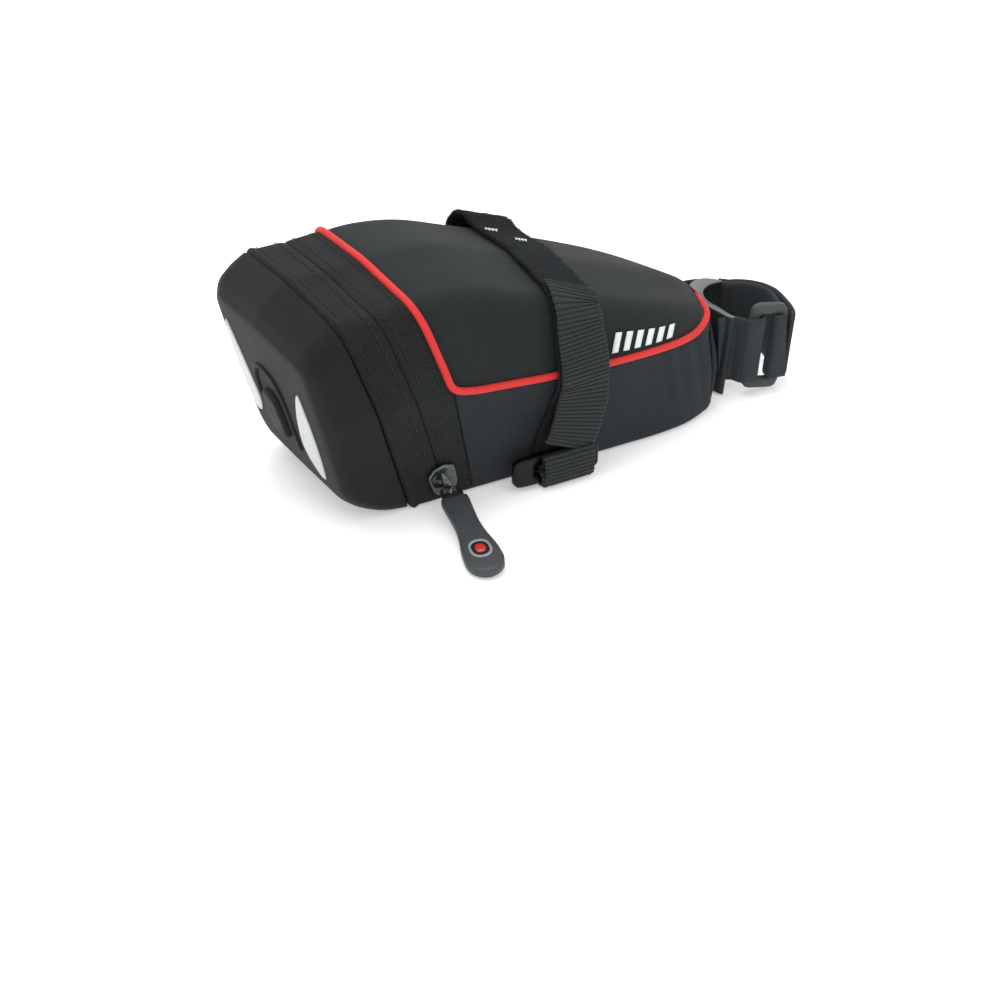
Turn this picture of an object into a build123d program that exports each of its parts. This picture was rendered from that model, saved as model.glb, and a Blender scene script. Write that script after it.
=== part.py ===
from build123d import *
from math import sin, cos, tan, acos, atan, radians, degrees, sqrt, pi
import os

# Wedge saddle bag with a zipped rear cap. Millimetres; +X to the seat post, +Y to the left, +Z up.
# The flat underside of the bag is at Z = 0.

# ------------------------------------------------------------------ driving dimensions
# Outer skin, one row per cross-section:
# x, bottom half width, belt half width, belt height, shoulder half width, shoulder height,
# crown height, shoulder radius
SKIN = [(-100, 31.5, 41.5, 47.5, 38.5, 79.0, 82.5, 11),
        (-60, 31.5, 41.5, 47.5, 38.5, 79.0, 82.5, 11),
        (-40, 31.5, 41.5, 47.4, 38.2, 79.6, 83.2, 11),
        (-20, 31.6, 41.0, 45.2, 37.2, 77.0, 80.8, 11),
        (0, 31.8, 40.0, 42.7, 35.8, 70.2, 73.8, 10),
        (20, 32.0, 38.0, 40.3, 34.0, 63.0, 66.5, 10),
        (40, 32.4, 34.8, 37.8, 31.0, 55.8, 59.5, 9),
        (55, 32.4, 31.6, 36.0, 27.5, 50.0, 54.0, 8),
        (66, 31.0, 28.4, 34.6, 23.5, 45.3, 49.5, 6),
        (74, 28.0, 25.2, 34.2, 19.5, 41.7, 46.0, 4),
        (80, 24.5, 21.6, 35.2, 15.5, 39.3, 42.6, 2.5),
        (84, 19.5, 16.5, 36.6, 10.5, 38.4, 40.0, 1.2),
        (88, 13.0, 10.5, 37.0, 6.0, 38.2, 39.2, 0.8)]
NOSE_X, NOSE_SLANT = 80.2, 0.116            # flat front end, leaning forward at the top
BELT_R, BOTTOM_R, CROWN_R = 18.0, 3.0, 40.0
FABRIC, FOAM, LINING = 1.0, 2.0, 0.5        # the three layers of the wall

SLANT = 0.363                               # the mouth and its bands lean back by this slope
RIM_X, ZIP_X, PIPING_X = -49.2, -34.0, -19.7    # where those planes meet the underside
SEAM_X, SEAM_SLANT = -24.0, 0.272           # band to side panel seam, below the belt
SEAM_GAP = 0.35                             # half the gap between the two zip tapes
COIL_W, COIL_T = 2.0, 1.2
FACET_X, FACET_SLANT = -71.4, 0.289         # flat rear face of the cap
FACET = [(32.6, 7.5), (35.8, 42.0), (35.4, 68.0), (0, 70.0)]    # half widths and heights, foot to crown
CAP_WAIST_X, CAP_WAIST_SLANT = -60.0, 0.33  # the cap swells between its rim and the rear face
CAP_WAIST = [(33.0, 2.0), (39.6, 45.6), (38.0, 74.0), (0, 76.8)]
CAP_WALL, CAP_EDGE = 2.4, 2.2
PIPING_R = 1.6

STRAP_T, STRAP_W = 1.8, 20.0                # saddle strap
POST_STRAP_W, POST_STRAP_T = 25.0, 1.8
POST_R = 12.9                               # cradle bore, for a 25.4 mm seat post
CRADLE_H, CRADLE_WALL = 32.0, 5.5
CRADLE_TURN, CRADLE_LEAN = -12.5, 6.6       # degrees about Z, and forward at the top
CLIMB_X, CLIMB_Y = 0.13, -0.05              # the strap climbs on its way round the post

BIG = 200.0


# ------------------------------------------------------------------ helpers
def at(x):
    """The skin's row at x, by straight interpolation."""
    for a, b in zip(SKIN, SKIN[1:]):
        if x <= b[0]:
            t = (x - a[0]) / (b[0] - a[0])
            return tuple(p + (q - p) * t for p, q in zip(a, b))
    return SKIN[-1]


def inset_polygon(points, d):
    """Move every side of a convex clockwise polygon of (y, z) points inwards by d."""
    lines = []
    for (y0, z0), (y1, z1) in zip(points, points[1:] + points[:1]):
        length = sqrt((y1 - y0) ** 2 + (z1 - z0) ** 2)
        ny, nz = (z1 - z0) / length, -(y1 - y0) / length
        lines.append((ny, nz, ny * y0 + nz * z0 + d))
    out = []
    for (a, b, c), (p, q, r) in zip(lines[-1:] + lines[:-1], lines):
        det = a * q - b * p
        out.append(((c * q - b * r) / det, (a * r - c * p) / det))
    return out


def outline(x, d=0.0):
    """Corner points (y, z) and radii of the skin's section at x, moved inwards by d."""
    _, b0, b1, zb, b2, zs, zt, rs = at(x)
    right = [(-b0, 0.0), (-b1, zb), (-b2, zs)]
    points = right + [(0.0, zt)] + [(-y, z) for y, z in reversed(right)]
    radii = [BOTTOM_R, BELT_R * min(1, rs / 8), rs]
    radii = radii + [CROWN_R * min(1, rs / 8)] + radii[::-1]
    return inset_polygon(points, d), [max(r - d, 0.4) for r in radii]


def corner_arcs(points, radii):
    """Start, middle and end of the rounding at every corner of a closed outline."""
    arcs = []
    for before, p, after, r in zip(points[-1:] + points[:-1], points, points[1:] + points[:1], radii):
        u, v = (before - p).normalized(), (after - p).normalized()
        half = acos(max(-1.0, min(1.0, u.dot(v)))) / 2
        reach = r / tan(half)
        middle = p + (u + v).normalized() * (r / sin(half) - r)
        arcs.append((p + u * reach, middle, p + v * reach))
    return arcs


def rounded_wire(points, radii):
    arcs = corner_arcs(points, radii)
    edges = []
    for (a, m, b), (c, _, _) in zip(arcs, arcs[1:] + arcs[:1]):
        edges += [Edge.make_three_point_arc(a, m, b), Edge.make_line(b, c)]
    return Wire(edges)


def side_region(points, half=60.0):
    """Everything inside a side-view outline of (x, z) points."""
    return Solid.extrude(Face(Wire.make_polygon([Vector(x, -half, z) for x, z in points])),
                         Vector(0, 2 * half, 0))


def only(shape):
    """The solids of a result, largest first, as one shape."""
    solids = sorted(shape.solids(), key=lambda s: -s.volume)
    solids = [s for s in solids if s.volume > 0.5]
    return solids[0] if len(solids) == 1 else Compound(solids)


def skin_solid(d):
    """The closed outer form of the bag, moved inwards by d."""
    wires = []
    for row in SKIN:
        points, radii = outline(row[0], d)
        wires.append(rounded_wire([Vector(row[0], y, z) for y, z in points], radii))
    front = NOSE_X - d
    behind = side_region([(-120, -5), (front - 5 * NOSE_SLANT, -5), (front + 110 * NOSE_SLANT, 110),
                          (-120, 110)])
    return only(Solid.make_loft(wires, True) & behind)


def slant(x0, z, k=SLANT):
    return x0 - k * z


def between(x_rear, x_front, z0=-5.0, z1=110.0, k=SLANT):
    """Side region between two parallel slanted planes."""
    return side_region([(slant(x_rear, z0, k), z0), (slant(x_front, z0, k), z0),
                        (slant(x_front, z1, k), z1), (slant(x_rear, z1, k), z1)])


def ribbon(path, width, thickness, along):
    """A flat strap following path (list of Vector); along is the direction of its width,
    or a list with one direction per point."""
    wires = []
    for i, p in enumerate(path):
        ahead = path[min(i + 1, len(path) - 1)] - path[max(i - 1, 0)]
        w = (along[i] if isinstance(along, list) else along).normalized()
        n = w.cross(ahead.normalized()).normalized()
        corners = [p + w * (width / 2 * a) + n * (thickness / 2 * b)
                   for a, b in ((-1, -1), (1, -1), (1, 1), (-1, 1))]
        wires.append(Wire.make_polygon(corners))
    return Solid.make_loft(wires, True)


def tube(points, radius, ends=None, pieces=24, sides=10):
    """A round cord through points, as straight short pieces."""
    path = Wire([Edge.make_spline(points, tangents=ends)])
    side, wires = None, []
    for i in range(pieces + 1):
        p, ahead = path @ (i / pieces), path % (i / pieces)
        if side is None:
            side = ahead.cross(Vector(0.1, 0.2, 1))
        side = (side - ahead * side.dot(ahead)).normalized()
        up = ahead.cross(side)
        turns = [2 * pi * (j + 0.5) / sides for j in range(sides)]
        wires.append(Wire.make_polygon([p + side * (radius * cos(a)) + up * (radius * sin(a))
                                        for a in turns]))
    return Solid.make_loft(wires, True)


def save(shape, node):
    shape.label = node
    export_step(shape, "parts/" + node + ".step")
    print(node, round(shape.volume / 1000, 2), "cm3")


os.makedirs("parts", exist_ok=True)

# ------------------------------------------------------------------ wall layers and regions
OUTER = skin_solid(0)
MIDDLE = skin_solid(FABRIC)
INNER = skin_solid(FABRIC + FOAM)
HOLLOW = skin_solid(FABRIC + FOAM + LINING)
FABRIC_SHELL = OUTER - MIDDLE

belt_rear_z = (PIPING_X - SEAM_X) / (SLANT - SEAM_SLANT)
belt_rear = (slant(PIPING_X, belt_rear_z), belt_rear_z)
belt = [belt_rear] + [(r[0], r[3]) for r in SKIN if r[0] > -30] + [(95, 36.4)]
FLOOR_T = 2.6                               # height of the side walls' lower edge

top_region = side_region(belt + [(95, 110), (slant(PIPING_X, 110), 110)])
side_area = side_region([(slant(SEAM_X, FLOOR_T, SEAM_SLANT), FLOOR_T), (95, FLOOR_T)] + belt[::-1])
front_band_region = side_region(
    [(slant(ZIP_X + SEAM_GAP, FLOOR_T), FLOOR_T), (slant(SEAM_X, FLOOR_T, SEAM_SLANT), FLOOR_T),
     belt_rear, (slant(PIPING_X, 110), 110), (slant(ZIP_X + SEAM_GAP, 110), 110)])
bottom_region = side_region([(slant(ZIP_X + SEAM_GAP, -5), -5), (95, -5), (95, FLOOR_T),
                             (slant(ZIP_X + SEAM_GAP, FLOOR_T), FLOOR_T)])
nose_back = NOSE_X - FABRIC - 0.6
nose_half = side_region([(nose_back - 5 * NOSE_SLANT, -5), (120, -5), (120, 110),
                         (nose_back + 110 * NOSE_SLANT, 110)])
right_half = Pos(0, -BIG / 2, 0) * Box(2 * BIG, BIG, BIG)

# ------------------------------------------------------------------ bag shell
top_panel = only(FABRIC_SHELL & top_region)
sides = FABRIC_SHELL & side_area
nose_panel = only(sides & nose_half)
side_panel_right = only((sides - nose_half) & right_half)
side_panel_left = only((sides - nose_half) - right_half)
bottom_panel = only(FABRIC_SHELL & bottom_region)
front_zip_band = only(FABRIC_SHELL & front_band_region)

lined = between(ZIP_X + SEAM_GAP + COIL_W + 1.0, 200)
foam_wall = only((MIDDLE - INNER) & lined)
lining = only((INNER - HOLLOW) & lined)
coil_layer = MIDDLE - skin_solid(FABRIC + COIL_T)
zip_coil_front = only(coil_layer & between(ZIP_X + SEAM_GAP, ZIP_X + SEAM_GAP + COIL_W, 3.2))

HINGE_W = 8.0
hinge_strip = only((MIDDLE - skin_solid(FABRIC + 0.7))
                   & side_region([(slant(ZIP_X + SEAM_GAP, 0), -1), (ZIP_X + COIL_W + 0.3, -1),
                                  (ZIP_X + COIL_W + 0.3, 3), (slant(ZIP_X + SEAM_GAP, 3), 3)], 27))


# ------------------------------------------------------------------ piping
def skin_point(x, i, t, lift=0.0):
    """Point on the rounded section at x: corner i, t from 0 to 1 through its arc."""
    points, radii = outline(x, -lift)
    arcs = corner_arcs([Vector(x, y, z) for y, z in points], radii)
    a, m, b = arcs[i]
    q = a * ((1 - t) * (1 - 2 * t)) + m * (4 * t * (1 - t)) + b * (t * (2 * t - 1))
    return q


def on_plane(x0, i, t):
    """The same point where the section meets the slanted plane through x0."""
    x = x0
    for _ in range(12):
        q = skin_point(x, i, t)
        x = slant(x0, q.Z)
    return Vector(x, q.Y, q.Z)


def piping_half():
    """The right half of the piping, from the nose centre round to the middle of the top."""
    run = [Vector(84.7, 0, 37.3), Vector(84.6, -7.0, 37.2)]
    for x in (84, 80, 74, 66, 55, 40, 20, 0, -18, -29):
        row = at(x)
        run.append(Vector(row[0], -row[2], row[3]))
    run.append(Vector(belt_rear[0] + 1.0, -at(-36)[2], belt_rear_z + 1.4))
    run.append(Vector(slant(PIPING_X, belt_rear_z + 9), -at(-40)[2] + 0.8, belt_rear_z + 9))
    run += [on_plane(PIPING_X, 2, t) for t in (0.0, 0.35, 0.7, 1.0)]
    return run + [on_plane(PIPING_X, 3, t) for t in (0.0, 0.5)]


piping_right = tube(piping_half(), PIPING_R, [Vector(0, -1, 0), Vector(0, 1, 0)], 70)
piping = piping_right + mirror(piping_right, about=Plane.XZ)

# ------------------------------------------------------------------ rear cap
def ring(z_list, x0, k, d=0.0, radii=(3.0, 18.0, 11.0, 40.0)):
    """Rounded outline of (half width, z) corners on a slanted plane."""
    right = [(-y, z) for y, z in z_list[:3]]
    points = inset_polygon(right + [(0.0, z_list[3][1])] + [(-y, z) for y, z in right[::-1]], d)
    r = [max(q - d, 0.5) for q in radii]
    return rounded_wire([Vector(slant(x0, z, k), y, z) for y, z in points], r[:3] + [r[3]] + r[2::-1])


def cap_solid(d, front, back):
    """Cap form from its rim to the rear face, moved inwards by d."""
    row = SKIN[0]
    rim = [(row[1], 0.0), (row[2], row[3]), (row[4], row[5]), (0, row[6])]
    a = ring(rim, RIM_X + front, SLANT, d)
    w = ring(CAP_WAIST, CAP_WAIST_X + (front + back) / 2, CAP_WAIST_SLANT, d, (6.0, 20.0, 9.0, 40.0))
    b = ring(FACET, FACET_X + 2.0 + back, FACET_SLANT, d, (8.0, 22.0, 7.0, 40.0))
    c = ring(FACET, FACET_X + back, FACET_SLANT, d + CAP_EDGE, (7.0, 22.0, 6.0, 40.0))
    return Solid.make_loft([a, w, b, c], True)


cap_outer = cap_solid(0, 0, 0)
cap_inner = cap_solid(CAP_WALL, 0.0, CAP_WALL)
cap_lined = cap_solid(CAP_WALL + LINING, 0.0, CAP_WALL + LINING)
rear_cap = only(cap_outer - cap_inner)
cap_lining = only(cap_inner - cap_lined)
rear_zip_band = only(FABRIC_SHELL & between(RIM_X, ZIP_X - SEAM_GAP))
zip_coil_rear = only(coil_layer & between(ZIP_X - SEAM_GAP - COIL_W, ZIP_X - SEAM_GAP, 3.2))


def on_facet(y, s, out=0.0):
    """Point on the rear face: y across, s up the slope from the face's lower edge."""
    length = sqrt(1 + FACET_SLANT ** 2)
    z = 13.5 + s / length
    return Vector(slant(FACET_X, z, FACET_SLANT) - out / length, y, z - out * FACET_SLANT / length)


facet_out = Vector(-1, 0, -FACET_SLANT).normalized()


def facet_patch(points, depth, sunk=0.3):
    """A flat piece on the rear face from (y, s) corner points."""
    face = Face(Wire.make_polygon([on_facet(y, s, -sunk) for y, s in points]))
    return Solid.extrude(face, facet_out * (depth + sunk))


blade = [(-24.6, 40.0), (-21.0, 34.0), (-16.5, 22.0), (-14.5, 12.0), (-16.5, 5.5), (-20.0, 1.5),
         (-22.4, 1.0), (-25.0, 8.0), (-26.4, 18.0), (-26.4, 30.0)]
reflector_right = facet_patch(blade, 0.7)
reflector_left = facet_patch([(-y, s) for y, s in blade], 0.7)
arch_out = [(-11.5, 0.5), (-11.5, 24.0), (-8.0, 30.5), (0, 33.0), (8.0, 30.5), (11.5, 24.0), (11.5, 0.5)]
arch_in = [(-9.0, 0.5), (-9.0, 23.0), (-6.2, 28.2), (0, 30.2), (6.2, 28.2), (9.0, 23.0), (9.0, 0.5)]
light_arch = facet_patch(arch_out, 0.8) - facet_patch(arch_in, 3.0, 1.0)
loop_out = [(-5.0, 5.0), (-5.0, 19.0), (-3.0, 21.0), (3.0, 21.0), (5.0, 19.0), (5.0, 5.0), (3.0, 3.0),
            (-3.0, 3.0)]
light_loop = facet_patch(loop_out, 2.2) - facet_patch([(-5.5, 7.5), (5.5, 7.5), (5.5, 16.5), (-5.5, 16.5)],
                                                      1.1, -0.05)
for piece in (reflector_right, reflector_left, light_arch, light_loop):
    rear_cap = rear_cap - piece

# ------------------------------------------------------------------ zip slider and puller
side_out = Vector(0, -47.5, -10.0).normalized()         # outward from the right wall
zip_up = Vector(-SLANT * 47.5, -10.0, 47.5).normalized()
zip_across = zip_up.cross(side_out)
SLIDER_Z, SLIDER_T = 11.0, 1.5
slider_seat = Vector(slant(ZIP_X, SLIDER_Z), -31.5 - SLIDER_Z * 10 / 47.5, SLIDER_Z)


def slider_point(across, up, out):
    return slider_seat + zip_across * across + zip_up * up + side_out * out


def slider_prism(points, low, high):
    face = Face(Wire.make_polygon([slider_point(a, u, low) for a, u in points]))
    return Solid.extrude(face, side_out * (high - low))


plate = [(-2.4, 6.8), (2.4, 6.8), (5.2, 4.0), (5.2, -2.6), (4.0, -6.4), (-3.6, -6.4), (-4.8, -2.6),
         (-4.8, 4.0)]
slider_plate = slider_prism(plate, 0.9, 0.9 + SLIDER_T)
bridge = ribbon([slider_point(0, u, o) for u, o in
                 ((5.4, 1.6), (5.0, 3.4), (3.2, 4.8), (0, 5.3), (-3.6, 5.3), (-5.4, 4.4), (-5.8, 1.6))],
                2.8, 1.0, zip_across)
zip_slider = slider_plate + bridge

pull_pivot = slider_point(0.3, -3.6, 3.5)
pull_tip = Vector(-47.6, -85.6, 2.7)
pull_dir = (pull_tip - pull_pivot).normalized()
level = Vector(zip_across.X, zip_across.Y, zip_across.Z * 0.3)      # the loose link lets it lie flatter
pull_axis = (level - pull_dir * level.dot(pull_dir)).normalized()
pull_up = pull_axis.cross(pull_dir).normalized()
if pull_up.Z < 0:
    pull_up = pull_up * -1
PULL_LINK, PULL_T, PULL_LEN = 6.5, 3.6, (pull_tip - pull_pivot).length
BADGE_L, BADGE_W = 9.4, 7.4


def pull_point(across, down, up=0.0):
    return pull_pivot + pull_axis * across + pull_dir * down + pull_up * up


link_path = [pull_point(a, s) for a, s in
             ((-2.9, 10.0), (-2.9, 6.0), (-2.9, 1.2), (-2.0, 0.2), (0, 0.0), (2.0, 0.2), (2.9, 1.2),
              (2.9, 6.0), (2.9, 10.0))]
pull_link = tube(link_path, 0.7)
half_widths = [(PULL_LINK, 4.7), (PULL_LINK + 2, 4.9), (16.5, 4.5), (22.5, 4.4), (29.0, 5.0),
               (35.0, 6.1), (40.0, 6.6), (44.0, 6.6), (47.2, 5.6), (49.4, 3.4), (PULL_LEN, 0.0)]
shape = [pull_point(w, s, -PULL_T / 2) for s, w in half_widths]
shape += [pull_point(-w, s, -PULL_T / 2) for s, w in reversed(half_widths[:-1])]
puller = Solid.extrude(Face(Wire.make_polygon(shape)), pull_up * PULL_T)
puller = puller - pull_link
badge_plane = Plane(origin=pull_point(0, 38.0, PULL_T / 2 - 0.3), x_dir=pull_dir, z_dir=pull_up)
puller_badge = extrude(badge_plane * Ellipse(BADGE_L / 2, BADGE_W / 2), 0.6)
puller = puller - extrude(badge_plane * Ellipse(BADGE_L / 2, BADGE_W / 2), 2.0)

# ------------------------------------------------------------------ saddle strap and buckle
STRAP_X, STRAP_LOW = 13.7, -6.1             # middle of the strap on top; its shift at the buckle
RING_X, RING_Y, RING_Z = 4.2, -40.2, 7.2    # middle of the buckle
RING_L, RING_H, RING_T, RING_BAR = 34.0, 11.0, 3.4, 2.7
RING_WIN, RING_WIN_AT = 23.0, 3.4           # window length, and its shift towards the nose
ACROSS = Vector(1, 0, 0)


def hugging(steps):
    """Strap path laid on the skin: (corner, t, lift, shift) steps, with the strap's width direction."""
    path, along = [], []
    for corner, t, lift, shift in steps:
        a = skin_point(STRAP_X + shift - STRAP_W / 2, corner, t, lift)
        b = skin_point(STRAP_X + shift + STRAP_W / 2, corner, t, lift)
        path.append((a + b) / 2)
        along.append((b - a).normalized())
    return path, along


def strap(low, steps):
    """A strap whose lower end is given as (shift, y, z) and whose rest lies on the skin."""
    path, along = hugging(steps)
    start = [Vector(STRAP_X + dx, y, z) for dx, y, z in low]
    return ribbon(start + path, STRAP_W, STRAP_T, [ACROSS] * len(start) + along)


LAYER = STRAP_T + 0.4
behind_ring = [(STRAP_LOW, -43.0, 13.2), (STRAP_LOW, -43.0, 9.3), (STRAP_LOW, -42.1, 8.2),
               (STRAP_LOW, -40.2, 7.95), (STRAP_LOW, -38.2, 8.3), (STRAP_LOW, -37.3, 9.6),
               (-5.2, -37.4, 16.0), (-3.0, -38.4, 23.0), (-0.8, -39.8, 31.0)]
over = [(1, 0.0, 3.1, 0), (1, 0.5, 3.1, 0), (1, 1.0, 2.9, 0), (2, 0.0, 1.5, 0), (2, 0.25, 1.5, 0),
        (2, 0.5, 1.5, 0), (2, 0.75, 1.5, 0.4), (2, 1.0, 1.5, 1.2), (3, 0.0, 1.5, 2.6), (3, 0.5, 1.5, 3.2),
        (3, 1.0, 1.6, 3.2), (4, 0.0, 2.8, 2.8), (4, 0.25, 5.0, 2.4), (4, 0.5, 6.9, 1.8),
        (4, 0.75, 6.2, 1.2), (4, 1.0, 4.4, 0.6), (5, 0.0, 3.1, 0), (5, 0.5, 3.1, 0), (5, 1.0, 3.0, 0),
        (6, 0.0, 1.4, 0)]
saddle_strap = strap(behind_ring, over)
FLAP_Z = 14.3
saddle_strap_tab = strap([(STRAP_LOW, -43.0, FLAP_Z), (-4.4, -43.3, 18.0), (-2.4, -43.5, 24.0),
                          (-0.6, -43.6, 31.0)],
                         [(corner, t, lift + LAYER, 0) for corner, t, lift, _ in over[:6]]
                         + [(2, 0.75, 1.5 + LAYER, 0.8), (2, 0.98, 1.5 + LAYER, 1.6)])
saddle_buckle = Pos(RING_X, RING_Y, RING_Z) * (
    fillet(Box(RING_L, RING_T, RING_H).edges(), 1.1)
    - Pos(RING_WIN_AT, 0, 0) * Box(RING_WIN, 20, RING_H - 2 * RING_BAR))
anchor_path = [(-32.9, 1.6), (-37.6, 0.95), (-40.2, 0.85), (-42.3, 1.2), (-43.0, 2.8), (-42.9, 4.7),
               (-42.0, 5.6), (-40.2, 5.8), (-37.9, 5.2), (-33.4, 3.5)]
buckle_anchor = ribbon([Vector(STRAP_X + STRAP_LOW, y, z) for y, z in anchor_path], STRAP_W, 1.4, ACROSS)


def tack(x, y, length):
    """A short sewn bar on top of the strap."""
    row = at(x)
    rise = (row[6] - row[5]) / row[4]
    z = row[6] - y * rise + 1.5 + STRAP_T / 2 + 0.5
    return Pos(x, y, z) * Rot(-degrees(atan(rise)), 18, 0) * Box(length, 2.2, 0.8)


strap_tacks = Compound([tack(12.0, 18.5, 5.0), tack(19.3, 10.0, 4.6)])

# ------------------------------------------------------------------ seat post cradle and strap
STRIP_T, STRIP_W = 1.0, 14.0
base_x = NOSE_X + STRIP_T + 1.1
CRADLE_Z = 1.6
cradle_place = (Pos(base_x + CRADLE_Z * NOSE_SLANT, 0, CRADLE_Z) * Rot(0, 0, CRADLE_TURN)
                * Rot(0, CRADLE_LEAN, 0))
strip_face = [(NOSE_X + 0.02 + z * NOSE_SLANT + d, z) for d, z in
              ((0, 3.0), (STRIP_T, 3.0), (STRIP_T, 32.0), (0, 32.0))]
cradle_strip = side_region(strip_face, STRIP_W / 2)

POST_AT = CRADLE_WALL + POST_R              # seat post axis in front of the cradle's back


def on_post(radius, degrees):
    """Point on a circle round the seat post, counted from straight ahead."""
    a = radians(degrees)
    return (POST_AT + radius * cos(a), radius * sin(a))


def flat(points):
    return [Vector(x, y, CRADLE_H / 2 + CLIMB_X * x + CLIMB_Y * y) for x, y in points]


def upright(points, width, thickness):
    return ribbon(flat(points), width, thickness, Vector(0, 0, 1))


far_in, arc_mid, near_in = on_post(POST_R, 96), on_post(POST_R, 155), on_post(POST_R, 212)
back = [near_in, (11.3, -15.9), (9.9, -16.6), (8.9, -15.9), (5.2, -9.2), (3.6, -6.6), (1.0, -4.4),
        (0, -2.4), (0, 3.5), (1.6, 8.6), (4.2, 12.8), (7.4, 15.6), (11.0, 16.6), (14.8, 15.6), (16.8, 14.2), far_in]
edges = [Edge.make_line(Vector(*p, 0), Vector(*q, 0)) for p, q in zip(back, back[1:])]
edges.append(Edge.make_three_point_arc(Vector(*far_in, 0), Vector(*arc_mid, 0), Vector(*near_in, 0)))
post_cradle = Solid.extrude(Face(Wire(edges)), Vector(0, 0, CRADLE_H))

near_path = [(6.9, -14.2), (9.5, -14.3), (12.6, -15.2), (14.8, -17.8), (16.4, -19.3), (20.6, -19.3),
             (21.6, -18.2), (21.6, -16.4), (21.6, -14.8)]
STRAP_RUN = POST_R + 0.1 + POST_STRAP_T / 2
far_path = [(-0.6, 8.6), (-0.4, 15.6), (3.6, 20.2), (10.0, 20.6), (14.6, 18.4), (17.8, 15.6)]
far_path += [on_post(STRAP_RUN, a) for a in range(76, 3, -8)]
far_path += [(31.8, -5.0), (31.0, -9.6), (29.8, -12.2), (28.3, -13.4), (27.0, -14.0), (26.6, -15.4),
             (26.6, -16.6), (26.6, -18.6), (27.7, -19.4), (31.2, -19.4)]
post_strap_near = upright(near_path, POST_STRAP_W, POST_STRAP_T)
post_strap_far = upright(far_path, POST_STRAP_W, POST_STRAP_T)
post_cradle = post_cradle - upright(near_path[:3], POST_STRAP_W + 0.6, POST_STRAP_T + 0.3)
post_strap = Compound([post_strap_near, post_strap_far])
BUCKLE_W, BUCKLE_T, BUCKLE_H, BUCKLE_BAR = 14.8, 3.6, 34.0, 3.6
post_buckle = Pos(flat([(24.0, -16.4)])[0]) * (
    fillet(Box(BUCKLE_W, BUCKLE_T, BUCKLE_H).edges(), 1.1)
    - Box(BUCKLE_W - 2 * BUCKLE_BAR, 20, POST_STRAP_W + 1.4))
HINGE_AT = (32.2, -19.3)
tab_path = [(HINGE_AT[0] + 0.1, HINGE_AT[1]), (33.4, -17.2), (34.3, -13.0), (34.7, -6.0)]
tab_path += [on_post(STRAP_RUN + POST_STRAP_T + 0.5, a) for a in range(5, 80, 8)] + [(19.3, 17.4)]
post_strap_tab = upright(tab_path, POST_STRAP_W, POST_STRAP_T)

# ------------------------------------------------------------------ files, one for each piece
for node, shape in {
        "top_panel": top_panel, "side_panel_right": side_panel_right, "side_panel_left": side_panel_left,
        "bottom_panel": bottom_panel, "nose_panel": nose_panel, "front_zip_band": front_zip_band,
        "foam_wall": foam_wall, "lining": lining, "piping": piping, "zip_coil_front": zip_coil_front,
        "cap_hinge_strip": hinge_strip, "rear_cap": rear_cap, "cap_lining": cap_lining,
        "rear_zip_band": rear_zip_band, "zip_coil_rear": zip_coil_rear,
        "reflector_right": reflector_right, "reflector_left": reflector_left,
        "light_arch": light_arch, "light_loop": light_loop, "zip_slider": zip_slider,
        "pull_link": pull_link, "puller": puller, "puller_badge": puller_badge,
        "saddle_strap": saddle_strap, "strap_tacks": strap_tacks, "saddle_buckle": saddle_buckle,
        "buckle_anchor": buckle_anchor, "saddle_strap_tab": saddle_strap_tab,
        "cradle_strip": cradle_strip}.items():
    save(only(shape), node)
for node, shape in {"post_cradle": post_cradle, "post_strap": post_strap, "post_buckle": post_buckle,
                    "post_strap_tab": post_strap_tab}.items():
    save(cradle_place * only(shape), node)
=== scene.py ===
from math import acos, cos, pi, radians, sin, sqrt, tan

import bmesh
import bpy
import numpy as np
from mathutils import Matrix, Vector


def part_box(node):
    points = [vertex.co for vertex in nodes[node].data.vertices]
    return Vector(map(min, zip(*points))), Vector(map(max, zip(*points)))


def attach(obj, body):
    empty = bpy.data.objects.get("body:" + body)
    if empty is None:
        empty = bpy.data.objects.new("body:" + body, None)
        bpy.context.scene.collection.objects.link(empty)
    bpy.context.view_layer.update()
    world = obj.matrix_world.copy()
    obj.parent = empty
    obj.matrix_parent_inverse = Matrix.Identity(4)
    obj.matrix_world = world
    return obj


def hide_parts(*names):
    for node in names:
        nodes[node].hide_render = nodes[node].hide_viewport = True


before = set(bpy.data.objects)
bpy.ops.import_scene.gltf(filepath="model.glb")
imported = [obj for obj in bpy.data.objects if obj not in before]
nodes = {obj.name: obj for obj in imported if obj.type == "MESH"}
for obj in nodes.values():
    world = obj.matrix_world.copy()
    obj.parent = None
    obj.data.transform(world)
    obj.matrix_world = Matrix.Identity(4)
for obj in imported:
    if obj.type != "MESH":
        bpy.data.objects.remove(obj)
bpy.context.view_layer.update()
rng = np.random.default_rng(7)
MM = 0.001

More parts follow.
